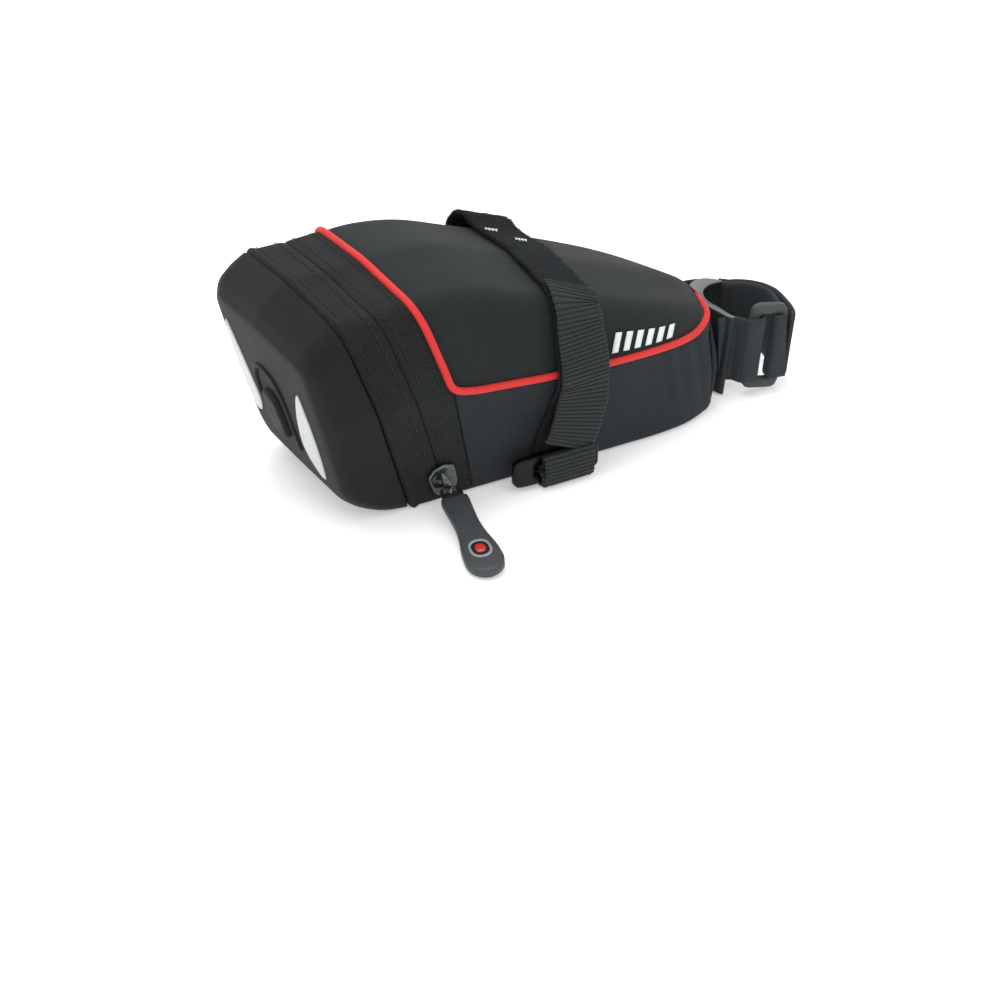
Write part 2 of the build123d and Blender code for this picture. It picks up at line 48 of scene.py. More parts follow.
# ---------- the bag's form, in millimetres
# x, b0, b1, zb, b2, zs and zt of half_outline, and the shoulder's radius
SKIN = np.array([
    (-112, 31.5, 41.5, 47.5, 38.5, 79.0, 82.5, 11), (-60, 31.5, 41.5, 47.5, 38.5, 79.0, 82.5, 11),
    (-40, 31.5, 41.5, 47.4, 38.2, 79.6, 83.2, 11), (-20, 31.6, 41.0, 45.2, 37.2, 77.0, 80.8, 11),
    (0, 31.8, 40.0, 42.7, 35.8, 70.2, 73.8, 10), (20, 32.0, 38.0, 40.3, 34.0, 63.0, 66.5, 10),
    (40, 32.4, 34.8, 37.8, 31.0, 55.8, 59.5, 9), (55, 32.4, 31.6, 36.0, 27.5, 50.0, 54.0, 8),
    (66, 31.0, 28.4, 34.6, 23.5, 45.3, 49.5, 6), (74, 28.0, 25.2, 34.2, 19.5, 41.7, 46.0, 4),
    (80, 24.5, 21.6, 35.2, 15.5, 39.3, 42.6, 2.5), (84, 19.5, 16.5, 36.6, 10.5, 38.4, 40.0, 1.2),
    (92, 8.0, 6.0, 37.2, 3.0, 38.1, 38.8, 0.8)], float)
NOSE_X, NOSE_SLANT, NOSE_DRAWN_IN = 80.2, 0.116, 0.11  # drawn in at the piping
SLANT, SEAM_SLANT = 0.363, 0.272
RIM_X, ZIP_X, PIPING_X, SEAM_X = -49.2, -34.0, -19.7, -24.0
FLOOR_T, PANEL_T = 2.6, 1.0
COUNTS = (8, 8, 14, 10, 14, 12, 14, 6)
KNOTS = np.cumsum((0,) + COUNTS) / sum(COUNTS)  # where each line and arc of a half outline ends
FLOOR_EDGE_R, BELT_R, CROWN_R = 3.0, 18.0, 40.0


def unit(v):
    return v / np.linalg.norm(v, axis=-1, keepdims=True)


def hermite(table, at):
    """Smooth rows between the rows of a table whose first column is the position."""
    x, y = table[:, 0], table[:, 1:]
    slopes = np.gradient(y, x, axis=0)
    i = np.clip(np.searchsorted(x, at) - 1, 0, len(x) - 2)
    h = x[i + 1] - x[i]
    t = (at - x[i]) / h
    return ((2 * t ** 3 - 3 * t ** 2 + 1) * y[i] + (t ** 3 - 2 * t ** 2 + t) * h * slopes[i]
            + (3 * t ** 2 - 2 * t ** 3) * y[i + 1] + (t ** 3 - t ** 2) * h * slopes[i + 1])


def half_outline(b0, b1, zb, b2, zs, zt, radii, z0=0.0):
    """Half a cross-section as (y, z), from the middle of the bottom over the side to the crown. b0, b1
    and b2 are half widths at the bottom, belt and shoulder, zb, zs and zt the heights of belt, shoulder
    and crown."""
    pts = [np.array(p, float) for p in ((0, z0), (b0, z0), (b1, zb), (b2, zs), (0, zt), (-b2, zs))]
    out, start = [], pts[0]
    for i in (1, 2, 3, 4):
        u, v = unit(pts[i - 1] - pts[i]), unit(pts[i + 1] - pts[i])
        half, r = acos(np.clip(u @ v, -1, 1)) / 2, radii[i - 1]
        a, b = pts[i] + u * r / tan(half), pts[i] + v * r / tan(half)
        centre = pts[i] + unit(u + v) * r / sin(half)
        line, arc = COUNTS[2 * i - 2:2 * i]
        for s in range(line):
            out.append(start + (a - start) * s / line)
        turn = (pi - 2 * half) / (2 if i == 4 else 1)  # the crown's arc ends in the middle
        for s in range(arc):
            q = turn * s / arc
            d = a - centre
            out.append(centre + np.array((d[0] * cos(q) - d[1] * sin(q), d[0] * sin(q) + d[1] * cos(q))))
        start = b
    out.append(np.array((0.0, out[-1][1] + 0.02)))
    return np.array(out)


def skin_section(x):
    b0, b1, zb, b2, zs, zt, rs = hermite(SKIN, x)
    k = min(1.0, rs / 8)
    return half_outline(b0, b1, zb, b2, zs, zt, (FLOOR_EDGE_R, BELT_R * k, rs, CROWN_R * k))


XS = np.arange(-110.0, 91.0)  # a section every millimetre
TABLE = np.array([skin_section(x) for x in XS])


def skin(x, w):
    """Points of the outer skin. w runs 0 to 2, from the middle of the bottom over the right side, the
    crown and the left side back to the bottom."""
    x, w = np.broadcast_arrays(np.asarray(x, float), np.asarray(w, float))
    t = np.where(w <= 1, w, 2 - w) * (TABLE.shape[1] - 1)
    i = np.clip((x - XS[0]).astype(int), 0, len(XS) - 2)
    j = np.clip(t.astype(int), 0, TABLE.shape[1] - 2)
    a, b = (x - XS[0] - i)[..., None], (t - j)[..., None]
    q = ((TABLE[i, j] * (1 - b) + TABLE[i, j + 1] * b) * (1 - a)
         + (TABLE[i + 1, j] * (1 - b) + TABLE[i + 1, j + 1] * b) * a)
    z = q[..., 1]
    nose = np.clip((x - 55) / 29, 0, 1) ** 2 * np.clip((z - 16) / 18, 0, 1)
    y = np.where(w <= 1, -1, 1) * q[..., 0] * (1 - NOSE_DRAWN_IN * nose)
    return np.stack([x - 1.0 * nose, y, z + 0.9 * nose * np.clip((z - 37) / 5, 0, 1)], -1)


def skin_normal(x, w):
    """Unit directions out of the skin, from neighbouring points on it."""
    d = skin(np.asarray(x) + 0.8, w) - skin(np.asarray(x) - 0.8, w)
    e = skin(x, np.clip(np.asarray(w) + 0.006, 0, 2)) - skin(x, np.clip(np.asarray(w) - 0.006, 0, 2))
    n = unit(np.cross(d, e))
    out = skin(x, w) - np.stack([np.asarray(x) + 0 * n[..., 0], 0 * n[..., 0], 36 + 0 * n[..., 0]], -1)
    return n * np.sign((n * out).sum(-1, keepdims=True) + 1e-9)


def plane_x(x0, w, slope=SLANT, rounds=14):
    """x where the skin meets the slanted plane x = x0 - slope z."""
    x = np.full(np.shape(w), float(x0))
    for _ in range(rounds):
        x = x0 - slope * skin(x, w)[..., 2]
    return x


def nose_x(w, base=NOSE_X):
    """x where the skin meets the nose, which leans the other way."""
    return plane_x(base, w, -NOSE_SLANT, 10)


W_FLOOR = KNOTS[2] - 0.006  # the side walls start near the top of the rounded floor edge
W_BELT = (KNOTS[3] + KNOTS[4]) / 2
# the stretches of w that are a strap's corners, from the right belt to the left floor edge
W_CORNER = {1: (KNOTS[3], KNOTS[4]), 2: (KNOTS[5], KNOTS[6]), 3: (KNOTS[7], 2 - KNOTS[7]),
            4: (2 - KNOTS[6], 2 - KNOTS[5]), 5: (2 - KNOTS[4], 2 - KNOTS[3]), 6: (2 - KNOTS[2], 2 - KNOTS[1])}


def noise2(u, v, seed, octaves=3):
    """Smooth repeatable unevenness, about -1 to 1."""
    g = np.random.default_rng(seed)
    total = 0 * u
    for o in range(octaves):
        for _ in range(4):
            a, p = g.uniform(0, 2 * pi, 2)
            f = 2.0 ** o * g.uniform(0.7, 1.4)
            total = total + np.sin(f * (u * cos(a) + v * sin(a)) + p) / (4 * 1.6 ** o)
    return total


# ---------- mesh making
def finish_piece(o, name, body, slot, look, node=None, smooth=True):
    """Give a piece its surface and body; slot is not used. One named after a CAD node replaces it."""
    if smooth:
        for f in o.data.polygons:
            f.use_smooth = True
    o.data.materials.append(mats[look])
    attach(o, body)
    node = node or name
    if node in nodes:
        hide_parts(node)
    return o


def add_object(name, data):
    o = bpy.data.objects.new(name, data)
    bpy.context.scene.collection.objects.link(o)
    return o


def mesh_object(name, verts, faces, cloth=None):
    """A mesh from points in mm. cloth holds a place on the material for every point."""
    me = bpy.data.meshes.new(name)
    me.from_pydata([tuple(v) for v in np.asarray(verts) * MM], [], [tuple(f) for f in faces])
    if cloth is not None:
        me.attributes.new("cloth", "FLOAT_VECTOR", "POINT").data.foreach_set(
            "vector", np.asarray(cloth, np.float32).ravel())
    me.validate()
    return add_object(name, me)


def thicken(o, thick, offset=-1, even=False):
    s = o.modifiers.new("thickness", "SOLIDIFY")
    s.thickness, s.offset, s.use_even_offset = thick * MM, offset, even


def lengths(P, axis):
    """Distance run so far along each line of a grid of points."""
    d = np.linalg.norm(np.diff(P, axis=axis), axis=-1)
    zero = np.zeros_like(np.take(d, [0], axis=axis))
    return np.cumsum(np.concatenate([zero, d], axis=axis), axis=axis)


def grid_faces(n, m, wrap=False, flip=False, closed=False):
    """Quads over n rows of m points. wrap joins each row's ends, closed joins the last row to the first."""
    i, j = np.meshgrid(np.arange(n if closed else n - 1), np.arange(m if wrap else m - 1), indexing="ij")
    below, k = (i + 1) % n, (j + 1) % m
    f = np.stack([i * m + j, below * m + j, below * m + k, i * m + k], -1).reshape(-1, 4)
    return f[:, ::-1] if flip else f


def solid(name, P, faces, cloth, **how):
    """A closed form from its points and faces, which are turned outward."""
    o = mesh_object(name, np.reshape(P, (-1, 3)), faces, np.reshape(cloth, (-1, 3)))
    recalc(o)
    return finish_piece(o, name, **how)


def swept(name, P, cloth, closed=False, **how):
    """A solid through rings of points, with flat ends unless its last ring meets its first."""
    n, m, _ = P.shape
    faces = list(grid_faces(n, m, wrap=True, closed=closed))
    if not closed:
        faces += [tuple(range(m)), tuple((n - 1) * m + np.arange(m)[::-1])]
    return solid(name, P, faces, cloth, **how)


def from_axis(p):
    """A direction from the middle of the bag out through p."""
    return p - np.array((p[0] * 0.8, 0, 36))


def panel(name, P, outward=from_axis, edge=None, **how):
    """A sheet of fabric through a grid of points, made thick on its inner side. cloth holds its own
    lengths in mm and, as a third value, edge."""
    n, m, _ = P.shape
    u, v = lengths(P, 1), lengths(P, 0)
    u = u - u[:, m // 2:m // 2 + 1]
    a, b = P[n // 2 + 1, m // 3] - P[n // 2, m // 3], P[n // 2, m // 3 + 1] - P[n // 2, m // 3]
    flip = np.cross(a, b) @ outward(P[n // 2, m // 3]) < 0
    cloth = np.stack([u, v, edge if edge is not None else 0 * u], -1)
    o = mesh_object(name, P.reshape(-1, 3), grid_faces(n, m, flip=flip), cloth.reshape(-1, 3))
    thicken(o, PANEL_T, even=True)
    return finish_piece(o, name, **how)


def smooth_path(points, count, closed=False):
    """Evenly spaced points on a smooth line through the given ones (any number of columns; the first
    three are the position)."""
    p = np.asarray(points, float)
    if closed:
        p = np.vstack([p[-2:], p, p[:3]])
    s = np.concatenate([[0], np.cumsum(np.sqrt(np.linalg.norm(np.diff(p[:, :3], axis=0), axis=1)) + 1e-6)])
    lo, hi = (s[2], s[-3]) if closed else (0, s[-1])
    fine = np.array([hermite(np.column_stack([s, p]), t) for t in np.linspace(lo, hi, count * 4)])
    d = np.concatenate([[0], np.cumsum(np.linalg.norm(np.diff(fine[:, :3], axis=0), axis=1))])
    at = np.linspace(0, d[-1], count + (1 if closed else 0))
    out = np.column_stack([np.interp(at, d, fine[:, c]) for c in range(p.shape[1])])
    return out[:-1] if closed else out


def frames(path, across):
    """Unit along, across and outward vectors for a ribbon."""
    along = unit(np.gradient(path, axis=0))
    across = unit(across - along * (across * along).sum(1, keepdims=True))
    return along, across, np.cross(across, along)


def ribbon(name, path, across, width, thick, relief, sides=15, **how):
    """A strap: closed rounded section swept along path. relief(s, a) raises its two faces, where s is
    the length along it and a the place across it from -1 to 1."""
    along, across, out = frames(path, across)
    s = lengths(path[:, None, :], 0)[:, 0]
    a = np.linspace(-1, 1, sides)
    ring = [(q, 1) for q in a] + [(1.03, 0.35), (1.03, -0.35)] + [(q, -1) for q in a[::-1]]
    ring += [(-1.03, -0.35), (-1.03, 0.35)]
    q = np.array(ring)
    S, A = np.meshgrid(s, np.clip(q[:, 0], -1, 1), indexing="ij")
    half = np.where(abs(q[:, 0]) > 0.99, 0.72, 1.0) * q[:, 1] * thick / 2
    H = half[None] + relief(S, A) * np.sign(q[None, :, 1])
    wide = width / 2 * (1 + 0.006 * noise2(s / 3, 0 * s, 3))
    P = (path[:, None] + across[:, None] * q[:, 0][None, :, None] * wide[:, None, None]
         + out[:, None] * H[..., None])
    cloth = np.stack([A * width / 2, S, np.broadcast_to(np.sign(q[:, 1]), S.shape)], -1)
    return swept(name, P, cloth, **how)


def tube(name, path, radius, sides=12, closed=False, squash=(1, 1), **how):
    """A cord of one or many radii along path."""
    along = unit(np.roll(path, -1, 0) - np.roll(path, 1, 0)) if closed else unit(np.gradient(path, axis=0))
    side = np.zeros_like(path)
    ref = np.cross(along[0], (0.13, 0.2, 1.0))
    for i in range(len(path)):
        ref = ref - along[i] * (ref @ along[i])
        side[i] = unit(ref)
        ref = side[i]
    up = np.cross(along, side)
    r = np.broadcast_to(np.asarray(radius, float), (len(path),))
    q = np.linspace(0, 2 * pi, sides, endpoint=False)
    P = (path[:, None] + side[:, None] * (np.cos(q) * squash[0])[None, :, None] * r[:, None, None]
         + up[:, None] * (np.sin(q) * squash[1])[None, :, None] * r[:, None, None])
    S, Q = np.meshgrid(lengths(path[:, None, :], 0)[:, 0], q, indexing="ij")
    return swept(name, P, np.stack([Q * np.mean(r), S, 0 * S], -1), closed, **how)


def recalc(o):
    """Turn the faces of a closed form outward."""
    bm = bmesh.new()
    bm.from_mesh(o.data)
    bmesh.ops.recalc_face_normals(bm, faces=bm.faces)
    bm.to_mesh(o.data)
    bm.free()


def rings(name, ring_list, cap_start=True, cap_end=True, **how):
    """A solid from a list of closed rings with the same number of points."""
    R = np.array(ring_list)
    n, m, _ = R.shape
    faces = list(grid_faces(n, m, wrap=True))
    if cap_start:
        faces.append(tuple(range(m))[::-1])
    if cap_end:
        faces.append(tuple((n - 1) * m + np.arange(m)))
    u = lengths(R, 1)
    return solid(name, R, faces, np.stack([u, lengths(R, 0), 0 * u], -1), **how)


# a thread's rings: place along it, radius and height, as shares of its length and radius
SPINDLE = ((-.5, .35, -.2), (-.32, .9, .5), (0, 1, .9), (.32, .9, .5), (.5, .35, -.2))
SPINDLE_SIDES = 6


def stitches(name, centres, along, out, length, radius, **how):
    """Separate short threads, each a bowed spindle lying on the cloth."""
    verts, faces = [], []
    for c, a, n in zip(centres, unit(along), unit(out)):
        b = np.cross(a, n)
        base = len(verts)
        for t, r, h in SPINDLE:
            for q in np.linspace(0, 2 * pi, SPINDLE_SIDES, endpoint=False):
                verts.append(c + a * t * length + n * (h + sin(q) * r) * radius + b * cos(q) * r * radius)
        for k in range(len(SPINDLE) - 1):
            row, after = base + k * SPINDLE_SIDES, base + (k + 1) * SPINDLE_SIDES
            for j in range(SPINDLE_SIDES):
                nxt = (j + 1) % SPINDLE_SIDES
                faces.append((row + j, row + nxt, after + nxt, after + j))
        faces.append(tuple(base + j for j in range(SPINDLE_SIDES))[::-1])
        faces.append(tuple(after + j for j in range(SPINDLE_SIDES)))
    return solid(name, verts, faces, np.zeros((len(verts), 3)), **how)


# ---------- materials
def linear(r, g, b):
    """A colour given in 0 to 255, as the renderer's linear values."""
    def one(c):
        c /= 255
        return c / 12.92 if c <= 0.04045 else ((c + 0.055) / 1.055) ** 2.4
    return (one(r), one(g), one(b), 1)


def scaled(c, k):
    return tuple(k * x for x in c[:3]) + (1,)


class Shader:
    """A small helper for building one procedural material."""

    def __init__(self, name, **surface):
        self.m = bpy.data.materials.new(name)
        self.m.use_nodes = True
        self.t = self.m.node_tree
        self.b = self.t.nodes["Principled BSDF"]
        for key, value in surface.items():
            self.b.inputs[key.replace("_", " ")].default_value = value
        where = self.add("ShaderNodeAttribute", attribute_name="cloth")
        parts = self.add("ShaderNodeSeparateXYZ", {0: where.outputs["Vector"]})
        self.u, self.v = parts.outputs[0], parts.outputs[1]
        self.at = where.outputs["Vector"]
        self.place = self.add("ShaderNodeTexCoord").outputs["Object"]
        self.height = None

    def add(self, kind, inputs=None, **props):
        n = self.t.nodes.new(kind)
        for key, value in props.items():
            setattr(n, key, value)
        for key, value in (inputs or {}).items():
            if isinstance(value, bpy.types.NodeSocket):
                self.t.links.new(value, n.inputs[key])
            else:
                n.inputs[key].default_value = value
        return n

    def math(self, op, a, b=0.0, c=0.0):
        return self.add("ShaderNodeMath", {0: a, 1: b, 2: c}, operation=op).outputs[0]

    def times(self, a, b):
        return self.math("MULTIPLY", a, b)

    def noise(self, scale, vector=None, detail=3.0, rough=0.6):
        """Noise whose grains are about 1/scale of the vector's unit."""
        return self.add("ShaderNodeTexNoise", {"Vector": vector or self.place, "Scale": scale,
                                               "Detail": detail, "Roughness": rough}).outputs["Fac"]

    def ramp(self, fac, stops):
        r = self.add("ShaderNodeValToRGB", {0: fac})
        while len(r.color_ramp.elements) < len(stops):
            r.color_ramp.elements.new(0.5)
        for e, (p, c) in zip(r.color_ramp.elements, stops):
            e.position, e.color = p, c if hasattr(c, "__len__") else (c, c, c, 1)
        return r.outputs["Color"]

    def mix(self, fac, a, b):
        n = self.add("ShaderNodeMix", data_type="RGBA")
        for i, value in ((0, fac), (6, a), (7, b)):
            if isinstance(value, bpy.types.NodeSocket):
                self.t.links.new(value, n.inputs[i])
            else:
                n.inputs[i].default_value = value
        return n.outputs[2]

    def weave(self, pitch, twill=0.0):
        """Crossing threads: 0 between them to 1 on top. twill shifts each row."""
        u = self.math("MULTIPLY_ADD", self.v, twill, self.u) if twill else self.u
        a = self.math("SINE", self.times(u, 2 * pi / pitch))
        b = self.math("SINE", self.times(self.v, 2 * pi / pitch))
        return self.math("MULTIPLY_ADD", self.times(a, b), 0.5, 0.5)

    def bump(self, height, depth):
        """depth in mm"""
        n = self.add("ShaderNodeBump", {"Height": height, "Distance": depth * MM, "Strength": 1.0})
        if self.height:
            self.t.links.new(self.height, n.inputs["Normal"])
        self.height = n.outputs[0]
        self.t.links.new(self.height, self.b.inputs["Normal"])

    def colour(self, socket):
        self.t.links.new(socket, self.b.inputs["Base Color"])

    def rough(self, fac, low, high):
        r = self.add("ShaderNodeMapRange", {"Value": fac, "To Min": low, "To Max": high})
        self.t.links.new(r.outputs[0], self.b.inputs["Roughness"])


def fabric(name, base, pitch=0.5, depth=0.08, vary=0.25, fine=1.0, rough=(0.62, 0.82), sheen=0.12, twill=0.0,
           fleck=0.0, spec=0.2):
    """Woven cloth: uneven grain, crossing threads with painted shade darkening the gaps between them and,
    with fleck, lighter spots.
    """
    s = Shader(name, Sheen_Weight=sheen * 0.3, Sheen_Roughness=0.45, Specular_IOR_Level=spec)
    c = linear(*base)
    broad = s.noise(38, detail=4)
    grain = s.noise(0.9 * fine, s.at, detail=5, rough=0.7)
    both = s.math("ADD", s.times(broad, 0.45), s.times(grain, 0.55))
    col = s.mix(s.ramp(both, [(0.3, 0), (0.7, 1)]), scaled(c, 1 - vary), scaled(c, 1 + vary))
    threads = s.weave(pitch, twill=twill)
    # painted shade: the gaps between the crossing threads are darkened towards black
    col = s.mix(s.times(s.math("SUBTRACT", 1.0, threads), 0.3), col, (0.004, 0.004, 0.005, 1))
    if fleck:
        spots = s.ramp(s.noise(2.2, s.at, detail=2), [(0.62, 0), (0.72, 1)])
        col = s.mix(s.times(spots, fleck), col, scaled(c, 2.6))
    s.colour(col)
    s.rough(both, *rough)
    s.bump(s.noise(1.2 * fine, s.at, detail=6, rough=0.75), 0.14)
    s.bump(threads, depth)
    return s.m


def ribbed_cloth(name, base, rib, column, depth, dark):
    """Webbing: bold rows of yarn across it, broken into columns, with painted shade darkening the grooves
    between them.
    """
    s = Shader(name, Sheen_Weight=0.05, Specular_IOR_Level=0.25)
    c = linear(*base)
    row = s.math("ABSOLUTE", s.math("SINE", s.times(s.v, pi / rib)))
    col = s.math("ABSOLUTE", s.math("SINE", s.times(s.u, pi / column)))
    yarn = s.times(s.math("POWER", row, 0.5),
                  s.math("MULTIPLY_ADD", s.math("POWER", col, 0.6), 0.45, 0.55))
    grain = s.noise(3.0, s.at, detail=5, rough=0.7)
    tone = s.mix(s.ramp(grain, [(0.3, 0), (0.7, 1)]), scaled(c, 0.75), scaled(c, 1.5))
    # painted shade: the grooves between the rows and columns of yarn are darkened towards black
    s.colour(s.mix(s.times(s.math("SUBTRACT", 1.0, yarn), dark), tone, (0.002, 0.002, 0.002, 1)))
    s.rough(grain, 0.6, 0.85)
    s.bump(yarn, depth)
    s.bump(grain, 0.06)
    return s.m


def moulded(name, base, rough, grain=0.03, coat=0.0, vary=0.12, spec=0.5, metal=0.0):
    """Rubber, plastic or metal with a slight unevenness of colour and surface."""
    s = Shader(name, Coat_Weight=coat, Coat_Roughness=0.12, Specular_IOR_Level=spec, Metallic=metal)
    c = linear(*base)
    n = s.noise(120, detail=4)
    s.colour(s.mix(s.ramp(n, [(0.35, 0), (0.65, 1)]), scaled(c, 1 - vary), scaled(c, 1 + vary)))
    s.rough(s.noise(300, detail=3), rough * 0.8, rough * 1.25)
    s.bump(s.noise(900, detail=3), grain)
    return s.m


def rubber_painted_top_light(name, under, above):
    """Rubber painted lighter the more its faces look up, as painted top light, with the sides painted dark as
    painted shade.
    """
    s = Shader(name, Specular_IOR_Level=0.25)
    facing = s.add("ShaderNodeSeparateXYZ", {0: s.add("ShaderNodeNewGeometry").outputs["Normal"]}).outputs[2]
    s.colour(s.mix(s.ramp(facing, [(0.3, 0), (0.85, 1)]), linear(*under), linear(*above)))
    s.rough(s.noise(300), 0.5, 0.7)
    s.bump(s.noise(1200, detail=4), 0.05)
    return s.m


mats = {
    "shell": fabric("shell_fabric", (34, 38, 39), pitch=0.45, depth=0.06, vary=0.35, sheen=0.2, spec=0.12),
    "side": fabric("ripstop", (36, 41, 45), pitch=0.9, depth=0.2, vary=0.3, twill=0.5, sheen=0.14),
    "band": fabric("band_fabric", (27, 30, 30), pitch=0.6, depth=0.14, vary=0.9, fleck=1.0, spec=0.15),
    "cap": fabric("cap_fabric", (28, 30, 29), depth=0.04, vary=0.28, fine=0.8, rough=(0.55, 0.72),
                  sheen=0.2, spec=0.1),
    "lining": fabric("lining_fabric", (44, 45, 48), pitch=0.8),
    "foam": moulded("foam", (40, 40, 40), 0.9, grain=0.3),
    "coil": moulded("coil_nylon", (22, 22, 23), 0.45, grain=0.1),
    "thread": fabric("thread", (46, 48, 49), pitch=0.3, depth=0.05, vary=0.2),
    "white": fabric("white_thread", (236, 240, 240), pitch=0.3, depth=0.05, vary=0.06),
    "loop": fabric("loop_tape", (31, 34, 36), pitch=0.9, depth=0.3, vary=0.9, fine=1.1, fleck=0.8,
                   rough=(0.85, 1.0), sheen=0.1, spec=0.05),
    "webbing": ribbed_cloth("webbing", (38, 42, 42), 1.5, 1.15, 0.35, 0.9),
    "post_web": fabric("post_webbing", (50, 54, 57), pitch=0.55, depth=0.05, vary=0.18, fine=1.6),
    "piping": fabric("piping", (222, 54, 52), pitch=0.6, depth=0.06, vary=0.12, rough=(0.5, 0.7), sheen=0.1),
    "film": moulded("reflective_film", (186, 188, 188), 0.4, grain=0.02, vary=0.04, spec=0.6),
    "light_rubber": moulded("light_rubber", (24, 25, 25), 0.6, spec=0.2),
    "gunmetal": moulded("gunmetal", (70, 74, 76), 0.22, grain=0.01, spec=0.9, coat=0.6, metal=0.85),
    "puller": moulded("puller_rubber", (52, 56, 58), 0.55, grain=0.04),
    "grey_enamel": moulded("grey_enamel", (140, 141, 146), 0.35),
    "red_enamel": moulded("red_enamel", (196, 40, 38), 0.35, coat=0.3),
    "gloss": moulded("gloss_nylon", (6, 7, 7), 0.3, grain=0.008, spec=0.22),
    "satin": moulded("satin_nylon", (62, 66, 66), 0.5, spec=0.3),
    # the cradle's light top and dark sides are painted top light and painted shade on one rubber
    "cradle": rubber_painted_top_light("cradle_rubber_painted_light_and_shade", (36, 39, 40), (112, 115, 116)),
}


# ---------- shell panels
def span(a, b, count, crowd=0.0):
    """Values from a to b. crowd draws them towards both ends."""
    t = np.linspace(0, 1, count)
    t = t - crowd * np.sin(2 * pi * t) / (2 * pi)
    return a + (b - a) * t


def between(start, end, w, rows, crowd=0.0):
    """A grid over the skin from one line to another: each row's share of the way, and x and w."""
    t = span(0, 1, rows, crowd)[:, None]
    return t, start + (end - start) * t, np.broadcast_to(w, (rows, len(w)))


def signed_power(v, power):
    return np.sign(v) * np.abs(v) ** power


# top panel, swelling a little between its seams
w = span(W_BELT + 0.002, 2 - W_BELT - 0.002, 150)
t, X, W = between(plane_x(PIPING_X + 0.3, w), nose_x(w, NOSE_X + 0.6), w, 150, 0.5)
N = skin_normal(X, W)
a = np.clip(np.minimum(t, 1 - t) * 9, 0, 1)
b = np.clip((w - W_BELT) * 9, 0, 1) * np.clip((2 - W_BELT - w) * 9, 0, 1)
swell = (1 - (1 - a) ** 2) * (1 - (1 - b) ** 2)
P = skin(X, W) + N * (0.9 * swell - 0.3)[..., None]
P = P + N * (0.16 * noise2(X / 14, W * 9, 11) * swell)[..., None]
top_panel = panel("top_panel", P, body="bag", slot="shell_fabric", look="shell")

# side panels, with the soft upright creases towards the nose
NOSE_SEAM_X = 78.6
for side, node in ((0, "side_panel_right"), (1, "side_panel_left")):
    w = span(W_FLOOR, W_BELT - 0.002, 50)
    if side:
        w = 2 - w
    t, X, W = between(plane_x(SEAM_X + 0.3, w, SEAM_SLANT), nose_x(w, NOSE_SEAM_X), w, 170)
    N = skin_normal(X, W)
    h = (w - w[0]) / (w[-1] - w[0])
    near_nose = np.clip((X - 42) / 26, 0, 1) * np.clip((84 - X) / 10, 0, 1)
    belly = np.sin(pi * h) ** 0.7
    crease = np.sin((X + 9 * h) / 1.25 + 1.3 * np.sin(h * 3 + X / 9)) * (0.35 + 0.65 * h)
    P = skin(X, W) + N * (0.7 * belly * np.clip(t * 8, 0, 1) + 0.5 * near_nose * crease * belly ** 0.5
                          + 0.14 * noise2(X / 9, h * 4, 21 + side) * belly)[..., None]
    piece = panel(node, P, body="bag", slot="side_fabric", look="side")

# nose panel, wrapping the front corners and fullest beside them
z = np.linspace(FLOOR_T, 36.4, 40)
w = np.linspace(0.02, W_BELT, 400)
w = np.interp(z, skin(np.full(400, 80.0), w)[:, 2], w)
xs = nose_x(w, NOSE_SEAM_X)
z, xs, half = z[:, None], xs[:, None], -skin(xs, w)[:, 1][:, None]
q = np.linspace(-pi / 2, pi / 2, 70)
reach = 1.7 + 0.5 * np.sin(pi * (z - 2) / 36)
corner = 3.4 * np.sin(pi * (z - 2) / 36) * np.exp(-((abs(half * np.sin(q)) - 22) / 5.5) ** 2)
flare = 1 + 0.07 * np.sin(pi * (z - 4) / 34) * np.sin(q) ** 2
P = np.stack([xs + (reach + corner) * signed_power(np.cos(q), 0.62),
              half * signed_power(np.sin(q), 0.86) * flare, np.broadcast_to(z, (40, 70))], -1)
nose = panel("nose_panel", P, body="bag", slot="shell_fabric", look="side")

# bottom panel
w = np.concatenate([2 - span(W_FLOOR, 0, 30), span(0, W_FLOOR, 30)[1:]])
w = np.clip(w, 0, 2)
_, X, W = between(plane_x(ZIP_X + 0.5, w), nose_x(w, NOSE_X + 0.2), w, 60)
bottom = panel("bottom_panel", skin(X, W), lambda p: np.array((0, 0, -1.0)), body="bag",
               slot="shell_fabric", look="side")


def band(name, w, start, end, roll_start, roll_end, **how):
    """A zip band. Each roll is how far the cloth sinks at that edge and how far it stands up beside it."""
    t, X, W = between(start, end, w, 26, 0.45)
    width = np.linalg.norm(skin(end, w) - skin(start, w), axis=-1)[None]
    a, b = t * width, (1 - t) * width  # mm from each edge
    lift = 0.0
    for dist, (sink, ridge) in ((a, roll_start), (b, roll_end)):
        lift = lift - sink * np.exp(-(dist / 0.7) ** 2) + ridge * np.exp(-((dist - 1.9) / 1.3) ** 2)
    swell = 0.35 * np.sin(pi * t) + 0.12 * noise2(W * 20, t * 3 + 0 * W, 31)
    P = skin(X, W) + skin_normal(X, W) * (lift + swell)[..., None]
    return panel(name, P, edge=np.minimum(a, b), slot="band_fabric", look="band", **how)


w = span(W_FLOOR, 2 - W_FLOOR, 230)
ends = np.where((w < W_BELT) | (w > 2 - W_BELT), plane_x(SEAM_X, w, SEAM_SLANT), plane_x(PIPING_X, w))
front_band = band("front_zip_band", w, plane_x(ZIP_X + 0.12, w), ends, (0.25, 0.1), (0.3, 0.15), body="bag")
w = np.concatenate([[0.0], span(0.004, 1.996, 290), [2.0]])
rear_band = band("rear_zip_band", w, plane_x(RIM_X + 0.25, w), plane_x(ZIP_X - 0.12, w), (1.1, 0.9),
                 (0.25, 0.1), body="cap")

